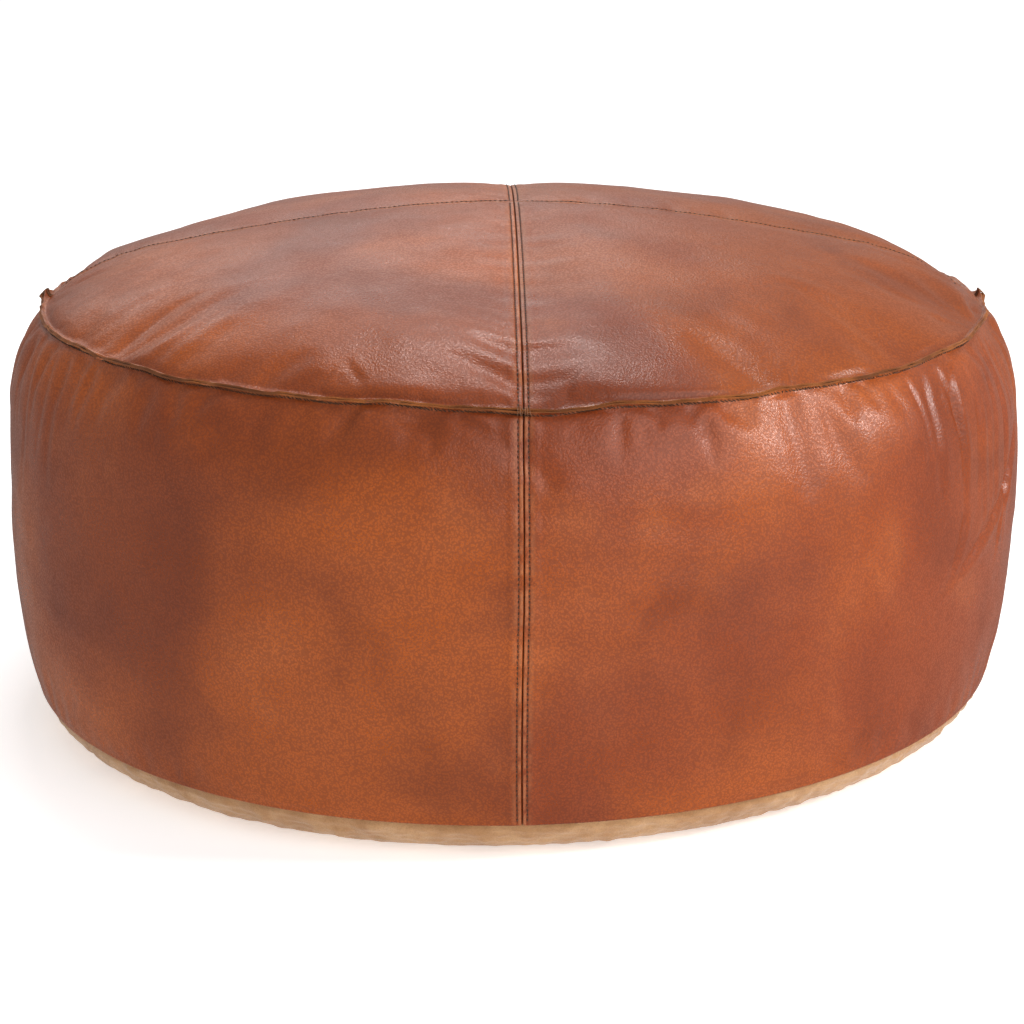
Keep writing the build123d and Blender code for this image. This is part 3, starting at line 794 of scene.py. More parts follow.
class Shader:
    """A material and short ways to add its nodes."""

    def __init__(self, name):
        self.material = bpy.data.materials.new(name)
        self.material.use_nodes = True
        self.tree = self.material.node_tree
        self.surface = self.tree.nodes["Principled BSDF"]
        self.place = self.add("ShaderNodeTexCoord").outputs["Object"]

    def add(self, kind, **settings):
        """A new node of this kind, with its settings."""
        node = self.tree.nodes.new(kind)
        for key, value in settings.items():
            setattr(node, key, value)
        return node

    def put(self, socket, value):
        """Link a node's output to a socket, or set the socket's own value."""
        if isinstance(value, bpy.types.NodeSocket):
            self.tree.links.new(value, socket)
        else:
            socket.default_value = value

    def set(self, name, value):
        """Give the surface shader one of its inputs."""
        self.put(self.surface.inputs[name], value)

    def math(self, operation, a, b=0.0, clamp=False):
        """One sum on two numbers."""
        node = self.add("ShaderNodeMath", operation=operation, use_clamp=clamp)
        self.put(node.inputs[0], a)
        self.put(node.inputs[1], b)
        return node.outputs[0]

    def times(self, a, b):
        """The product of two numbers."""
        return self.math("MULTIPLY", a, b)

    def most(self, a, b):
        """The larger of two numbers."""
        return self.math("MAXIMUM", a, b)

    def rest(self, a):
        """What is left of 1."""
        return self.math("SUBTRACT", 1.0, a)

    def band(self, value, low, high):
        """0 below low and 1 above high; the other way round if low is above high."""
        node = self.add("ShaderNodeMapRange", interpolation_type="SMOOTHSTEP")
        self.put(node.inputs["Value"], value)
        ends = (low, high, 0.0, 1.0) if low < high else (high, low, 1.0, 0.0)
        for key, at in zip(("From Min", "From Max", "To Min", "To Max"), ends):
            node.inputs[key].default_value = at
        return node.outputs["Result"]

    def mix(self, share, a, b):
        """Two colours mixed: the first at a share of 0, the second at 1."""
        node = self.add("ShaderNodeMix", data_type="RGBA")
        for socket, value in zip((node.inputs[0], node.inputs[6], node.inputs[7]), (share, a, b)):
            self.put(socket, value)
        return node.outputs[2]

    def blend(self, share, a, b):
        """The same for two numbers."""
        node = self.add("ShaderNodeMix", data_type="FLOAT")
        for socket, value in zip((node.inputs[0], node.inputs[2], node.inputs[3]), (share, a, b)):
            self.put(socket, value)
        return node.outputs[0]

    def noise(self, size, detail=3.0, rough=0.55, distortion=0.0, place=None):
        """Noise with features of about this size in millimetres, 0 to 1."""
        node = self.add("ShaderNodeTexNoise")
        self.put(node.inputs["Vector"], self.place if place is None else place)
        node.inputs["Scale"].default_value = 1 / (size * MM)
        node.inputs["Detail"].default_value = detail
        node.inputs["Roughness"].default_value = rough
        node.inputs["Distortion"].default_value = distortion
        return node.outputs["Fac"]

    def stretched(self, scale):
        """The object's own coordinates, scaled along each axis."""
        node = self.add("ShaderNodeMapping")
        self.put(node.inputs["Vector"], self.place)
        node.inputs["Scale"].default_value = scale
        return node.outputs[0]

    def cells(self, size, feature="SMOOTH_F1", place=None, soft=0.3):
        """Voronoi cells of about this size in millimetres: distance to the middle or the edge."""
        node = self.add("ShaderNodeTexVoronoi", feature=feature)
        self.put(node.inputs["Vector"], self.place if place is None else place)
        node.inputs["Scale"].default_value = 1 / (size * MM)
        if feature == "SMOOTH_F1":
            node.inputs["Smoothness"].default_value = soft
        return node.outputs["Distance"]

    def warped(self, size, amount):
        """The object's own coordinates, pushed about by noise."""
        node = self.add("ShaderNodeTexNoise")
        self.put(node.inputs["Vector"], self.place)
        node.inputs["Scale"].default_value = 1 / (size * MM)
        shift = self.add("ShaderNodeVectorMath", operation="MULTIPLY_ADD")
        self.put(shift.inputs[0], node.outputs["Color"])
        shift.inputs[1].default_value = (amount * MM,) * 3
        self.put(shift.inputs[2], self.place)
        return shift.outputs[0]

    def fact(self, name):
        """The parts of a vector kept on the mesh."""
        split = self.add("ShaderNodeSeparateXYZ")
        self.put(split.inputs[0], self.add("ShaderNodeAttribute", attribute_name=name).outputs["Vector"])
        return split.outputs

    def bump(self, height, distance, strength=1.0, under=None):
        """Relief from a height of 0 to 1 that stands for this distance in millimetres."""
        node = self.add("ShaderNodeBump")
        node.inputs["Strength"].default_value = strength
        node.inputs["Distance"].default_value = distance * MM
        self.put(node.inputs["Height"], height)
        if under is not None:
            self.put(node.inputs["Normal"], under)
        return node.outputs[0]


def needle_holes(s, off, along_seam):
    """1 at the holes of a row of stitches, fading to 0 beside them."""
    turn = s.math("FRACT", s.math("DIVIDE", along_seam, STITCH))
    between = s.times(s.math("ABSOLUTE", s.math("SUBTRACT", turn, 0.5)), STITCH)
    aside = s.math("SUBTRACT", off, ROW_OFFSET)
    far = s.math("SQRT", s.math("ADD", s.math("POWER", between, 2.0), s.math("POWER", aside, 2.0)))
    return s.band(far, 0.5, 0.12)


def seam_shades(s, off, along_seam, row_shade_and_grime):
    """(dark, pale) shares beside one seam: its ditch, turned edge and row of stitches. Dark is painted
    shade with some grime in the ditch, the needle holes and along the row; pale is wear.
    """
    # Painted shade in the ditch between the two panels.
    ditch = s.times(s.band(off, 0.5, 0.1), 0.7 + 0.3 * row_shade_and_grime)
    wander = s.noise(9.0, 2.0)
    ridge = s.times(s.band(off, 0.5, 1.1), s.band(off, 3.0, 2.2))
    outer = s.times(s.band(off, 4.0, 4.6), s.band(off, 8.5, 5.0))
    # Painted shade in the needle holes.
    holes = needle_holes(s, off, along_seam)
    # Along the row of stitches: a line of painted shade and grime, as strong as the last argument.
    beside = s.band(s.math("ABSOLUTE", s.math("SUBTRACT", off, ROW_OFFSET)), 1.1, 0.2)
    dark = s.most(s.most(ditch, holes), s.times(beside, row_shade_and_grime))
    pale = s.most(ridge, s.times(outer, 0.45))
    return dark, s.times(pale, s.band(wander, 0.3, 0.62))


def leather(name, warm, red, painted_shade=1.0):
    """Antiqued, hand-waxed cognac leather: mottled colour, pebble grain and worn seams, whose ditches and
    rows also carry painted shade; the last argument is a painted shade over every colour.
    """
    s = Shader(name)
    waxed, rubbed, flecked = linear(112, 48, 20), linear(196, 112, 58), linear(104, 42, 18)
    # The last of these colours is painted shade with some grime, for the seams.
    hollow, bare, shade_and_grime_colour = linear(96, 42, 20), linear(214, 150, 104), linear(52, 26, 13)
    broad = s.noise(210.0, 2.0, 0.5, 0.3)
    middle = s.noise(95.0, 3.0, 0.5, 0.4)
    small = s.noise(9.0, 3.0, 0.6)
    # Every colour below is darkened by the painted shade given as the last argument.
    colour = s.mix(s.band(broad, 0.36, 0.64), shaded(warm, painted_shade), shaded(red, painted_shade))
    colour = s.mix(s.times(s.band(middle, 0.46, 0.70), 0.38), colour, shaded(waxed, painted_shade))
    colour = s.mix(s.times(s.band(middle, 0.46, 0.26), 0.34), colour, shaded(rubbed, painted_shade))
    colour = s.mix(s.times(s.band(small, 0.45, 0.8), 0.10), colour, shaded(flecked, painted_shade))
    warp = s.warped(5.0, 1.6)
    pebble = s.cells(1.7, "SMOOTH_F1", warp, 0.45)
    fine = s.cells(0.9, "SMOOTH_F1", warp, 0.3)
    wrinkle = s.cells(4.2, "F1", s.warped(9.0, 4.0))
    worn = s.noise(55.0, 3.0)
    grain = s.math("ADD", s.times(pebble, 0.65), s.times(fine, 0.35))
    valleys = s.band(grain, 0.36, 0.58)
    colour = s.mix(s.times(valleys, 0.36), colour, shaded(hollow, painted_shade))
    off, lengthwise, rim = s.fact("seam")
    cross_off, crosswise, row_here = s.fact("cross")
    # The seams' dark shares are painted shade with some grime; the crosswise seam is given far more of
    # the line along its row.
    dark, pale = seam_shades(s, off, lengthwise, 0.1)
    cross_dark, cross_pale = seam_shades(s, cross_off, crosswise, 0.8)
    no_row = s.times(s.rest(row_here), s.band(cross_off, 2.0, 2.6))
    cross_dark = s.times(cross_dark, s.rest(no_row))
    dark = s.most(dark, cross_dark)
    pale = s.most(pale, cross_pale)
    rim_pale = s.times(s.band(rim, 3.5, -0.5), s.band(s.noise(14.0, 3.0), 0.34, 0.6))
    pale = s.most(pale, s.times(rim_pale, 0.8))
    colour = s.mix(s.times(pale, 0.34), colour, shaded(bare, painted_shade))
    # Painted shade and grime in the seam ditches, needle holes and beside the rows.
    colour = s.mix(s.times(dark, 0.86), colour, shaded(shade_and_grime_colour, painted_shade))
    s.set("Base Color", colour)
    rough = s.blend(s.band(worn, 0.35, 0.7), 0.26, 0.38)
    rough = s.math("ADD", rough, s.times(valleys, 0.12))
    s.set("Roughness", s.math("ADD", rough, s.times(dark, 0.2), clamp=True))
    s.set("Specular IOR Level", 0.5)
    relief = s.bump(s.rest(fine), 0.07)
    relief = s.bump(s.rest(pebble), 0.15, 1.0, relief)
    relief = s.bump(s.rest(wrinkle), 0.12, 0.7, relief)
    relief = s.bump(small, 0.22, 0.6, relief)
    relief = s.bump(s.rest(dark), 0.35, 0.8, relief)
    s.set("Normal", relief)
    return s.material


def suede(name, colour, dark_colour, sheen=0.35):
    """Napped suede: a soft, dusty tan with rubbed patches."""
    s = Shader(name)
    broad = s.noise(60.0, 4.0, 0.6, 0.5)
    middle = s.noise(12.0, 4.0, 0.65, 0.5)
    nap = s.noise(1.1, 3.0, 0.7)
    fibre = s.noise(0.5, 2.0, 0.7)
    tone = s.mix(s.band(broad, 0.35, 0.68), colour, dark_colour)
    tone = s.mix(s.times(s.band(middle, 0.42, 0.72), 0.45), tone, dark_colour)
    tone = s.mix(s.times(s.band(nap, 0.4, 0.7), 0.25), tone, linear(120, 84, 54))
    s.set("Base Color", tone)
    s.set("Roughness", 0.95)
    s.set("Specular IOR Level", 0.15)
    s.set("Sheen Weight", sheen)
    s.set("Sheen Roughness", 0.5)
    relief = s.bump(nap, 0.35)
    relief = s.bump(fibre, 0.18, 0.8, relief)
    s.set("Normal", s.bump(middle, 0.8, 0.8, relief))
    return s.material


def twisted(name, colour, dark_colour):
    """Waxed twisted thread."""
    s = Shader(name)
    strand = s.noise(0.35, 2.0, 0.6)
    patch = s.noise(5.5, 2.0)
    tone = s.mix(s.band(strand, 0.35, 0.65), colour, dark_colour)
    tone = s.mix(s.times(s.band(patch, 0.4, 0.7), 0.5), tone, dark_colour)
    s.set("Base Color", tone)
    s.set("Roughness", 0.7)
    s.set("Sheen Weight", 0.2)
    s.set("Normal", s.bump(strand, 0.15))
    return s.material


def woven(name, colour, dark_colour, pitch):
    """Plain woven cloth, its threads along X and Y."""
    s = Shader(name)
    split = s.add("ShaderNodeSeparateXYZ")
    s.put(split.inputs[0], s.place)
    wave = [s.math("SINE", s.times(split.outputs[i], 2 * math.pi / (pitch * MM))) for i in (0, 1)]
    weave = s.times(wave[0], wave[1])
    tone = s.mix(s.band(weave, -0.6, 0.6), dark_colour, colour)
    tone = s.mix(s.times(s.band(s.noise(9.0), 0.4, 0.7), 0.3), tone, dark_colour)
    s.set("Base Color", tone)
    s.set("Roughness", 0.9)
    s.set("Normal", s.bump(weave, pitch * 0.2))
    return s.material


def nylon(name):
    """Dyed nylon monofilament, as in a coil zip."""
    s = Shader(name)
    s.set("Base Color", s.mix(s.band(s.noise(6.0), 0.3, 0.7), linear(66, 43, 28), linear(88, 60, 40)))
    s.set("Roughness", 0.38)
    s.set("Normal", s.bump(s.noise(0.6), 0.03))
    return s.material


def aged_brass(name):
    """Antique brass with darker hollows and fine scratches."""
    s = Shader(name)
    wear = s.noise(3.0, 4.0, 0.6)
    scratch = s.noise(0.8, 2.0, 0.6, place=s.stretched((0.25, 3.0, 1.0)))
    s.set("Base Color", s.mix(s.band(wear, 0.35, 0.65), linear(172, 140, 88), linear(112, 88, 56)))
    s.set("Metallic", 1.0)
    s.set("Roughness", s.blend(s.band(scratch, 0.3, 0.7), 0.28, 0.5))
    s.set("Normal", s.bump(scratch, 0.02))
    return s.material


def fibre_wad(name):
    """Loose recycled fibre filling."""
    s = Shader(name)
    tuft = s.noise(16.0, 5.0, 0.7, 1.0)
    s.set("Base Color", s.mix(s.band(tuft, 0.35, 0.65), linear(226, 222, 212), linear(188, 182, 170)))
    s.set("Roughness", 1.0)
    s.set("Normal", s.bump(tuft, 4.0))
    return s.material


RAW_EDGE = suede("raw_edge", linear(162, 98, 50), linear(108, 62, 32), sheen=0.08)
SUEDE_TAN = suede("tan_suede", linear(196, 158, 118), linear(172, 130, 90))
OLIVE = twisted("olive_thread", linear(82, 54, 30), linear(50, 31, 17))
TACK_THREAD = twisted("tack_thread", linear(150, 96, 54), linear(92, 56, 30))
TAN_THREAD = twisted("tan_thread", linear(186, 146, 98), linear(140, 104, 66))


# --- leather panels ---------------------------------------------------------------------------------
# Grid lines in millimetres: away from a seam, down to the rim, and up the flange.
SEAM_LINES = [0.0, 0.3, 0.6, 0.9, 1.3, 1.8, 2.3, 2.7, 3.1, 3.5, 3.9, 4.3]
SEAM_LINES += [5.0, 6.2, 7.6, 8.8, 9.6, 10.4, 11.2, 12.4]
RIM_LINES = [12.0, 10.0, 8.2, 6.6, 5.2, 4.2, 3.4, 2.8, 2.2, 1.7, 1.2, 0.8, 0.4, 0.0]
FLANGE_LINES = [0.5, 1.0, 1.6, 2.2, 3.0, 4.0, 5.0, 5.8, FLANGE_TALL]
FINE_STEP = 2.0
QUARTERS = {"front_right": (1, -1), "front_left": (-1, -1), "back_right": (1, 1), "back_left": (-1, 1)}


def seam_gap_lines(scale):
    """Places across a seam, as shares of a scale in millimetres, starting at the seam's gap."""
    return [(SEAM_GAP + x) / scale for x in SEAM_LINES]


def top_lines():
    """(places, distances) of the grid lines across a quarter of the top."""
    scale = np.pi / 4 * TOP.length
    near = seam_gap_lines(scale)
    last = 1 - RIM_LINES[0] / TOP.length
    middle = np.linspace(near[-1], last, int((last - near[-1]) * TOP.length / FINE_STEP))[1:-1]
    rim = [1 - x / TOP.length for x in RIM_LINES] + [1 + x / TOP.length for x in FLANGE_LINES]
    places = np.concatenate([near, middle, rim])
    return places, places * TOP.length


def side_columns():
    """(angles, distances) of the grid lines round a quarter of the side."""
    near = seam_gap_lines(BELLY_RADIUS)
    wide = np.pi / 2 - 2 * near[-1]
    middle = near[-1] + np.linspace(0, wide, int(wide * BELLY_RADIUS / FINE_STEP))[1:-1]
    angles = np.concatenate([near, middle, np.pi / 2 - np.array(near[::-1])])
    return angles, angles * BELLY_RADIUS


def side_rows():
    """(places, distances) of the grid lines down the side, from the flange to the turned hem."""
    foot = [6.0, 4.5, 3.2, 2.2, 1.4, 0.7, 0.0]
    hem = [HEM * math.radians(turn) for turn in (25, 50, 75, 100, 125, 150, 180)] + [6.5, 9.0]
    start, end = RIM_LINES[0], SIDE.length - foot[0]
    middle = np.linspace(start, end, int((end - start) / FINE_STEP))[1:-1]
    up = [-x for x in FLANGE_LINES[::-1]] + RIM_LINES[::-1]
    places = np.concatenate([up, middle, [SIDE.length - x for x in foot], [SIDE.length + x for x in hem]])
    return places, places


def top_facts(sx, sy):
    """What the shader knows about a quarter of the top."""

    def place(a, b):
        part, angle = disc(a * sx, b * sy)
        r = np.minimum(part, 1.0) * TOP.length
        return r * np.cos(angle), r * np.sin(angle), (1 - part) * TOP.length

    def seam(a, b):
        x, y, rim = place(a, b)
        return np.stack([np.abs(x), y, rim], axis=-1)

    def cross(a, b):
        x, y, rim = place(a, b)
        return np.stack([np.abs(y), x, (y > 0) * 1.0], axis=-1)

    return {"seam": seam, "cross": cross}


def side_facts():
    """What the shader knows about a quarter of the side."""

    def seam(down, angle):
        off = np.abs(from_seam(angle, SIDE.walk(np.clip(down, 0, SIDE.length))[0]))
        return np.stack([off, down + 0 * angle, down + 0 * angle], axis=-1)

    def cross(down, angle):
        far = np.full(np.broadcast(down, angle).shape, 500.0)
        return np.stack([far, far, SIDE.length - down + 0 * angle], axis=-1)

    return {"seam": seam, "cross": cross}


def inner_step(at):
    """Spacing of the inner face's lines round the side, close enough to follow the folds."""
    return 3.0


def rim_step_top(at):
    """Spacing of the inner face's lines towards the rim and its flange."""
    return 6.0 if at < TOP.length - 14 else 2.0


def rim_step_side(at):
    """Spacing of the inner face's lines down the side, closer at both ends."""
    return 4.0 if 14 < at < SIDE.length - 8 else 2.0


# Each quarter's warm and red tones, and how bright its top panel is: a painted shade that makes the
# right-hand tops darker than the sides below them.
TONES = {
    "front_left": (linear(179, 92, 31), linear(148, 71, 28), 1.0),
    "front_right": (linear(177, 92, 37), linear(153, 73, 33), 0.84),
    "back_right": (linear(169, 89, 36), linear(146, 71, 33), 0.90),
    "back_left": (linear(169, 88, 35), linear(147, 71, 33), 1.0),
}


def leather_panels():
    """The eight panels of the cover, each cut along its own seams."""
    for name, (sx, sy) in QUARTERS.items():
        depth, wide = name.split("_")
        # The third tone is a painted shade, given to the top panel only.
        warm, red, painted_shade = TONES[name]
        lines = top_lines()
        piece = shell(
            f"top_{name}",
            lambda a, b, lift: top_surface(a * sx, b * sy, lift),
            lines,
            lines,
            (rim_step_top, rim_step_top),
            LEATHER,
            [leather(f"top_leather_{name}", warm, red, painted_shade), RAW_EDGE],
            top_facts(sx, sy),
        )
        keep(piece, f"top_panel_{depth}_{wide}")
        start = {(1, -1): -np.pi / 2, (1, 1): 0.0, (-1, 1): np.pi / 2, (-1, -1): np.pi}[(sx, sy)]
        angles, distances = side_columns()
        piece = shell(
            f"side_{name}",
            lambda down, angle, lift: side_surface(angle, down, lift),
            side_rows(),
            (angles + start, distances),
            (rim_step_side, inner_step),
            LEATHER,
            [leather(f"side_leather_{name}", warm, red), RAW_EDGE],
            side_facts(),
        )
        keep(piece, f"side_panel_{depth}_{wide}")


def base_step(at):
    """Spacing of the suede's inner lines, closer where it bends."""
    in_groove_end = GROOVE[0] - 16 < abs(at) < GROOVE[0] + 8
    in_groove_side = 16 < abs(at) < 44
    return 2.0 if in_groove_end or in_groove_side or abs(at) > BASE_LENGTH - 45 else 8.0


def base_panels():
    """The two halves of the suede base, meeting at the zip."""
    scale = np.pi / 4 * BASE_LENGTH
    by_zip = [[0.0, 0.5, 1.1, 1.9, 3.0, 4.5], np.linspace(6.5, 34, 14), np.linspace(36.5, scale, 110)]
    across = np.concatenate(by_zip) / scale
    lap = np.linspace(0.862, 1.0, 46)
    b = np.concatenate([across[across < 0.86], lap])
    half = np.concatenate([np.linspace(0, 0.86, 110), lap])
    a = np.concatenate([-half[:0:-1], half])
    rows, columns = (b, b * BASE_LENGTH), (a, a * BASE_LENGTH)
    for name, sy in (("front", -1), ("back", 1)):

        def surface(u, v, lift):
            points, normal = base_surface(v, u, lift)
            flip = np.array([1.0, sy, 1.0])
            return settle(points * flip), normal * flip

        looks = [SUEDE_TAN, RAW_EDGE]
        piece = shell(f"base_{name}", surface, rows, columns, (base_step, base_step), SUEDE, looks, {})
        keep(piece, f"base_panel_{name}")


leather_panels()
base_panels()


# --- stitches ---------------------------------------------------------------------------------------
STITCH_RISE = [(0.28, -0.60), (0.24, -0.15), (0.17, 0.24), (0.07, 0.36)]
STITCH_SHAPE = np.array([(-x, lift) for x, lift in STITCH_RISE] + STITCH_RISE[::-1])
THREAD = 0.8
RIM_STITCH, BASE_STITCH, ZIP_STITCH = 2.9, 5.0, 3.6  # from one stitch to the next
TACK_SHIFTS = (-4.0, -2.4, -0.9, 0.8, 2.3, 3.9)  # the tacks' places beside a seam, along the rim


def stitch_row(surface_at, start, end, seed, pitch=STITCH):
    """Paths and normals of one row of stitches; surface_at takes (distance along, aside, lift)."""
    rng = np.random.default_rng(seed)
    first = math.ceil(start / pitch - 0.5) + 0.5
    places = np.arange(first, end / pitch - 0.5) * pitch + pitch / 2
    jitter = rng.normal(0, 0.10, (len(places), 1))
    slant = rng.normal(0.12, 0.10, (len(places), 1))
    along_row = places[:, None] + STITCH_SHAPE[:, 0] * pitch + jitter
    aside = slant * STITCH_SHAPE[:, 0] * 2 + rng.normal(0, 0.07, (len(places), 1))
    lift = STITCH_SHAPE[:, 1] * THREAD + rng.normal(0, 0.04, (len(places), 1))
    return surface_at(along_row, aside, lift)


def top_row(axis, sign, offset):
    """A row of stitches beside one of the top's seams: axis 0 runs along Y, axis 1 along X."""

    def at(distance, aside, lift):
        part = np.abs(distance) / TOP.length
        turn = (offset + sign * aside) / np.maximum(np.abs(distance), 1e-6)
        square = np.clip(turn * 4 / np.pi, -1, 1) * part
        if axis == 0:
            return top_surface(sign * square, np.sign(distance) * part, lift)
        return top_surface(np.sign(distance) * part, sign * square, lift)

    return at


def side_row(seam_angle, sign):
    """A row of stitches beside an upright seam."""

    def at(down, aside, lift):
        radius = SIDE.walk(np.clip(down, 0, SIDE.length))[0]
        return side_surface(seam_angle + (sign * ROW_OFFSET + aside) / radius, down, lift)

    return at


def joined(rows):
    """Several rows as one set of paths and normals."""
    return [np.concatenate(parts) for parts in zip(*rows)]


def topstitching():
    """The rows of thread beside the seams of the top and the side."""
    reach = TOP.length - 3.0
    rows = []
    for sign in (-1, 1):
        rows.append(stitch_row(top_row(0, sign, ROW_OFFSET), 4.0, reach, 71 + sign))
        rows.append(stitch_row(top_row(0, sign, ROW_OFFSET), -reach, -4.0, 74 + sign))
    piece = strands("stitches_top_long", *joined(rows), THREAD / 2, OLIVE)
    keep(piece, "topstitch_top_lengthwise")
    across = top_row(1, 1, ROW_OFFSET)
    rows = [stitch_row(across, 7.0, reach, 81), stitch_row(across, -reach, -7.0, 82)]
    piece = strands("stitches_top_cross", *joined(rows), THREAD / 2, OLIVE)
    keep(piece, "topstitch_top_crosswise")
    for k, side in enumerate(("front", "right", "back", "left")):
        seam_angle = -np.pi / 2 + k * np.pi / 2
        end = SIDE.length - 1.5
        rows = [stitch_row(side_row(seam_angle, s), 2.0, end, 90 + 3 * k + s) for s in (-1, 1)]
        piece = strands(f"stitches_{side}", *joined(rows), THREAD * 0.45, OLIVE)
        keep(piece, f"topstitch_side_{side}")


def on_square(part, angle):
    """The place on the top's square at a distance fraction and an angle: disc, the other way."""
    local = np.mod(angle + np.pi / 4, np.pi / 2) - np.pi / 4
    quarter = np.round((angle - local) / (np.pi / 2)).astype(int) % 4
    b = local * 4 / np.pi * part
    return np.choose(quarter, [part, -b, -part, b]), np.choose(quarter, [b, part, -b, -part])


def tack(seam_angle, shift, lean):
    """Path and normals of one thread over the flange, from the top panel to the side panel."""
    over = np.array([-3.4, -2.4, -1.0, 1.0, 3.0, 5.0, 6.4])
    lift = np.array([-0.4, 0.3, 0.5, 0.45, 0.45, 0.5, 0.6])
    swing = seam_angle + (shift + lean * np.linspace(-1, 1, 2 * len(over))) / RIM[0]
    upper = top_surface(*on_square(1 + over / TOP.length, swing[: len(over)]), lift)
    lower = side_surface(swing[len(over) :], -over[::-1], lift[::-1])
    return [np.concatenate(parts) for parts in zip(upper, lower)]


def rim_threads():
    """Stitches through both plies at the foot of the flange, and overcast tacks at the seams."""
    rng = np.random.default_rng(101)
    count = int(2 * np.pi * RIM[0] / RIM_STITCH)
    angle = np.arange(count) * 2 * np.pi / count + rng.normal(0, 0.0006, count)
    slant = rng.normal(0.0022, 0.0008, count)[:, None]
    walk = np.array([2.6, 2.0, 1.0, 0.2, -0.6, -1.2])
    lift = np.array([-0.5, 0.12, 0.30, 0.32, 0.25, -0.3])
    turn = angle[:, None] + slant * (walk - 0.7)
    lower = side_surface(turn, walk + 0 * turn, lift + 0 * turn)
    keep(strands("rim_stitches", *lower, 0.32, OLIVE), "rim_stitching")
    seams = np.arange(4) * np.pi / 2 + 0.0001
    tacks = [tack(seam, shift, rng.normal(0.0, 1.3)) for seam in seams for shift in TACK_SHIFTS]
    paths, normals = (smoothed(np.array(parts)) for parts in zip(*tacks))
    keep(strands("rim_tack_threads", paths, normals, 0.36, TACK_THREAD), "rim_tacks")


def smoothed(paths, steps=3):
    """Paths with more points, on a smooth curve through the old ones."""
    count = paths.shape[1]
    at = np.linspace(0, count - 1, (count - 1) * steps + 1)
    i = np.clip(np.floor(at).astype(int), 0, count - 2)
    t = (at - i)[None, :, None]
    before, after = np.clip(i - 1, 0, count - 1), np.clip(i + 2, 0, count - 1)
    p0, p1, p2, p3 = paths[:, before], paths[:, i], paths[:, i + 1], paths[:, after]
    bend, twist = 2 * p0 - 5 * p1 + 4 * p2 - p3, 3 * p1 - p0 - 3 * p2 + p3
    return 0.5 * (2 * p1 + (p2 - p0) * t + bend * t**2 + twist * t**3)


def base_threads():
    """Small stitches in the crease where the leather laps the suede."""
    count = int(2 * np.pi * RIM[0] / BASE_STITCH)
    angle = (np.arange(count) + 0.5) * 2 * np.pi / count
    turn = angle[:, None] + STITCH_SHAPE[:, 0] * BASE_STITCH / BELLY_RADIUS
    down = SIDE.length + 2.2 + 0 * turn
    lift = STITCH_SHAPE[:, 1] * 0.5 + 0 * turn
    piece = strands("base_stitches", *side_surface(turn, down, lift), 0.3, OLIVE)
    keep(piece, "base_seam_stitching")


topstitching()
rim_threads()
base_threads()


# --- inside: liner and filling ------------------------------------------------------------------------
PLUMP_CELLS, PLUMP_ROWS = 26, 36


def plump_points(depth, roof):
    """Points and faces of a closed pouf shape inside the cover, hollowed over the zip."""
    size = 2 * PLUMP_CELLS + 1
    line = np.linspace(-1, 1, size)
    a, b = np.meshgrid(line, line, indexing="ij")
    part, angle = disc(a, b)
    reach = TOP.length - 7.0 - depth
    r, z, slope = TOP.walk(part * reach)
    r, z = along((r, z), -depth, slope)
    top = around(np.maximum(r, 0), z, angle)
    floor_reach = BASE_SEAM_WALK - 3.0
    r, z, slope = base_walk(part * floor_reach)
    r, z = along((r, z), -max(depth - 1.0, SUEDE + 0.3), slope)
    x, y = r * np.cos(angle), r * np.sin(angle)
    raised = groove_depth(x, y, 9.0) / GROOVE[2]
    z = z * (1 - raised) + np.maximum(z, roof + depth * 0.2) * raised
    base = np.stack([x, y, z], axis=-1)
    ring = ring_order(PLUMP_CELLS)
    turn = np.arctan2(top.reshape(-1, 3)[ring, 1], top.reshape(-1, 3)[ring, 0])
    down = np.linspace(9.0 + depth, SIDE.length - 2.0, PLUMP_ROWS)
    r, z, slope = SIDE.walk(down)
    r, z = along((r, z), -depth - 0.8, slope)
    side = around(r[:, None], z[:, None], turn[None])
    count = top[..., 0].size
    points = np.vstack([top.reshape(-1, 3), side.reshape(-1, 3), base.reshape(-1, 3)])
    rows = count + np.arange(side[..., 0].size).reshape(side.shape[:2])
    last = count + side[..., 0].size
    rows = np.vstack([ring[None], rows, last + ring[None]])
    faces = [quads(size, size), ring_quads(rows), quads(size, size, last)[:, ::-1]]
    return settle(points), np.vstack(faces)


def inside_pieces():
    """The cotton liner bag and the fibre filling in it."""
    outer, faces = plump_points(5.0, 16.8)
    inner, _ = plump_points(5.8, 17.6)
    both = np.vstack([faces, faces[:, ::-1] + len(outer)]).tolist()
    cotton = woven("cotton_cloth", linear(224, 214, 190), linear(190, 178, 150), 0.8)
    bag = rounded("liner_bag", np.vstack([outer, inner]), both, cotton)
    keep(bag, "inner_liner")
    filling, faces = plump_points(7.0, 19.0)
    tuft = np.clip(0.35 * field(filling, waves(91, 24, 25.0, 90.0)) - 0.8, -2.2, 0.0)
    filling = filling + normals_of(filling, faces) * tuft[:, None]
    wad = rounded("filling", filling, faces.tolist(), fibre_wad("fibre_wad"))
    keep(wad, "stuffing")


inside_pieces()


# --- zip --------------------------------------------------------------------------------------------
TAPE_HALF, TAPE_HEIGHT, TAPE_THICK = 227.5, 11.74, 0.56
TAPE_EDGES = (0.6, 15.6)
COIL_HALF, COIL_PITCH = 216.5, 1.35
COIL_OFFSET, COIL_HEIGHT = 1.7, 10.3
ZIP_ROW_OFFSET, ZIP_ROW_HEIGHT = 8.0, 10.0


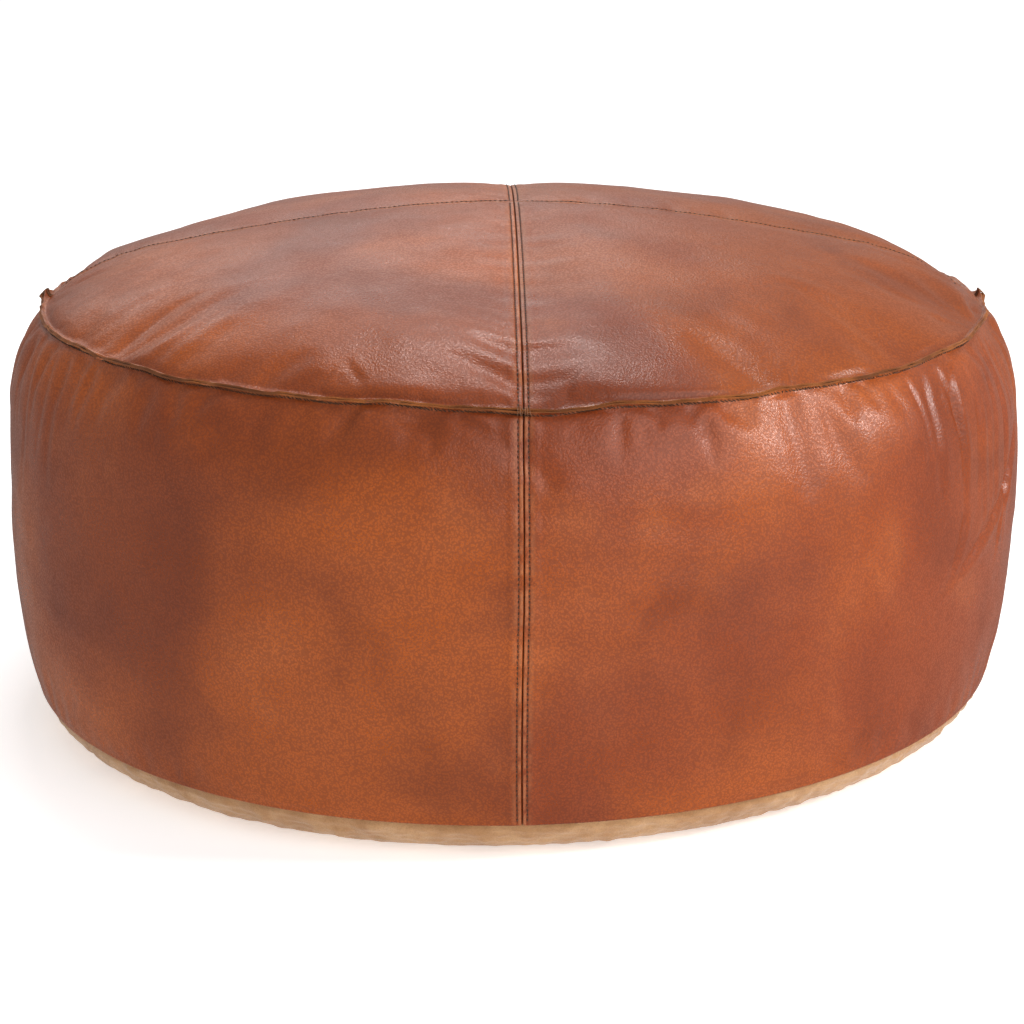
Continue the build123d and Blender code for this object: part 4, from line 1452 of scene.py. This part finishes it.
def tape(sign):
    """One woven tape with soft edges, sewn inside the suede."""
    along_x = np.linspace(-TAPE_HALF, TAPE_HALF, 181)
    across = np.array([0.62, 0.9, 1.4, 2.4, 4.0, 6.5, 9.0, 11.5, 13.8, 14.8, 15.3, 15.5])
    x, y = np.meshgrid(along_x, across, indexing="ij")
    edge = np.minimum(y - TAPE_EDGES[0], TAPE_EDGES[1] - y)
    half = TAPE_THICK / 2 * np.sqrt(np.clip(edge / 0.4, 0.1, 1.0))
    lower = np.stack([x, sign * y, TAPE_HEIGHT - half], axis=-1)
    upper = np.stack([x, sign * y, TAPE_HEIGHT + half], axis=-1)
    count = x.size
    faces = [quads(*x.shape), quads(*x.shape, count)[:, ::-1]]
    grid = np.arange(count).reshape(x.shape)
    rim = np.concatenate([grid[:, 0], grid[-1, 1:], grid[-2::-1, -1], grid[0, -2:0:-1]])
    after = np.roll(rim, -1)
    faces.append(np.stack([rim, rim + count, after + count, after], axis=-1))
    faces = np.vstack(faces)
    if sign < 0:
        faces = faces[:, ::-1]
    return np.vstack([lower.reshape(-1, 3), upper.reshape(-1, 3)]), faces.tolist()


def coil(sign):
    """The path of one nylon coil: a flattened spiral along the tape's edge."""
    turns = int(2 * COIL_HALF / COIL_PITCH)
    turn = np.linspace(0, turns * 2 * np.pi, turns * 14 + 1)
    x = np.linspace(-COIL_HALF, COIL_HALF, len(turn)) + sign * COIL_PITCH / 4
    y = sign * (COIL_OFFSET + 0.72 * np.cos(turn))
    z = COIL_HEIGHT + 0.68 * np.sin(turn)
    return np.stack([x, y, z], axis=-1)[None]


def zip_pieces():
    """Tapes, coils and stitching of the zip; its metal parts keep their CAD shape."""
    cloth = woven("tape_cloth", linear(128, 92, 60), linear(88, 60, 38), 0.7)
    coil_look = nylon("coil_nylon")
    for name, sign in (("front", -1), ("back", 1)):
        mesh = mesh_from(f"tape_{name}", *tape(sign))
        mesh.materials.append(cloth)
        keep(link(f"tape_{name}", mesh), f"zip_tape_{name}")
        path = coil(sign)
        from_middle = path - np.array([0.0, sign * COIL_OFFSET, COIL_HEIGHT])
        from_middle[..., 0] = 0.0
        piece = strands(f"coil_{name}", path, from_middle, 0.34, coil_look, sides=6)
        keep(piece, f"zip_coil_{name}")
    rows = []
    for sign in (-1, 1):

        def at(x, aside, lift):
            y = sign * ZIP_ROW_OFFSET + aside
            points = np.stack(np.broadcast_arrays(x, y, ZIP_ROW_HEIGHT - lift), axis=-1)
            return points, np.broadcast_to(np.array([0.0, 0.0, -1.0]), points.shape)

        rows.append(stitch_row(at, 2 - ZIP_HALF, ZIP_HALF - 2, 120 + sign, ZIP_STITCH))
    keep(strands("zip_stitches", *joined(rows), 0.35, TAN_THREAD), "zip_stitching")
    brass = aged_brass("aged_brass")
    for node in ("zip_stops", "zip_slider", "zip_pull"):
        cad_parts[node].data.materials.clear()
        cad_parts[node].data.materials.append(brass)


zip_pieces()


# --- floor, light and camera ----------------------------------------------------------------------------
FLOOR_HALF, FLOOR_GAP = 40000.0, 0.3


def floor():
    """A plain pale floor, just under the pouf."""
    corners = np.array([(-1, -1, 0), (1, -1, 0), (1, 1, 0), (-1, 1, 0)]) * FLOOR_HALF
    mesh = mesh_from("floor", corners - np.array([0.0, 0.0, FLOOR_GAP]), [(0, 1, 2, 3)])
    s = Shader("floor_paper")
    s.set("Base Color", s.mix(s.noise(400.0), (0.86, 0.86, 0.86, 1.0), (0.88, 0.88, 0.88, 1.0)))
    s.set("Roughness", 0.9)
    s.set("Specular IOR Level", 0.1)
    s.set("Emission Color", (1.0, 1.0, 1.0, 1.0))
    s.set("Emission Strength", 0.48)
    mesh.materials.append(s.material)
    ground = link("floor", mesh)
    ground.visible_glossy = False  # its glow would veil the edges of the leather


def aimed(item, place, target):
    """Put a light or camera at a place, looking at a target."""
    item.location = place
    item.rotation_euler = (Vector(target) - Vector(place)).to_track_quat("-Z", "Y").to_euler()


def softbox(name, place, target, wide, tall, power):
    """A rectangular studio light."""
    data = bpy.data.lights.new(name, "AREA")
    data.shape, data.size, data.size_y = "RECTANGLE", wide, tall
    data.energy = power
    lamp = bpy.data.objects.new(name, data)
    bpy.context.scene.collection.objects.link(lamp)
    lamp.visible_camera = False
    aimed(lamp, place, target)


def studio():
    """White surroundings, a soft sun and three softboxes."""
    world = bpy.data.worlds.new("studio")
    world.use_nodes = True
    sky = world.node_tree.nodes["Background"].inputs
    sky["Color"].default_value = (1.0, 1.0, 1.0, 1.0)
    sky["Strength"].default_value = 0.42
    bpy.context.scene.world = world
    data = bpy.data.lights.new("sun", "SUN")
    data.energy, data.angle = 1.5, math.radians(60)
    sun = bpy.data.objects.new("sun", data)
    bpy.context.scene.collection.objects.link(sun)
    aimed(sun, (1.5, -2.0, 1.35), (0.0, 0.0, 0.0))
    softbox("overhead", (0.1, 0.55, 2.35), (0.0, -0.3, 0.35), 1.2, 0.36, 22.0)
    softbox("back", (-0.9, 3.6, 2.6), (0.0, 0.0, 0.35), 3.6, 1.8, 31.0)
    softbox("right", (2.3, -0.75, 1.25), (0.0, 0.0, 0.2), 0.27, 0.36, 22.0)
    bpy.context.scene.view_settings.view_transform = "Standard"
    bpy.context.scene.view_settings.gamma = 0.9


EYE, LOOK_AT = (-0.0178, -1.8929, 0.6986), (0.002, 0.0, 0.1343)
LENS, ROLL = 84.74, -0.0225


def camera():
    """The photograph's view, with the lean of the filled pouf seen level."""
    data = bpy.data.cameras.new("camera")
    data.lens, data.sensor_width = LENS, 36.0
    data.clip_start, data.clip_end = 0.05, 200.0
    eye = bpy.data.objects.new("camera", data)
    bpy.context.scene.collection.objects.link(eye)
    aimed(eye, EYE, LOOK_AT)
    eye.rotation_euler.rotate_axis("Z", ROLL)
    bpy.context.scene.camera = eye


floor()
studio()
camera()
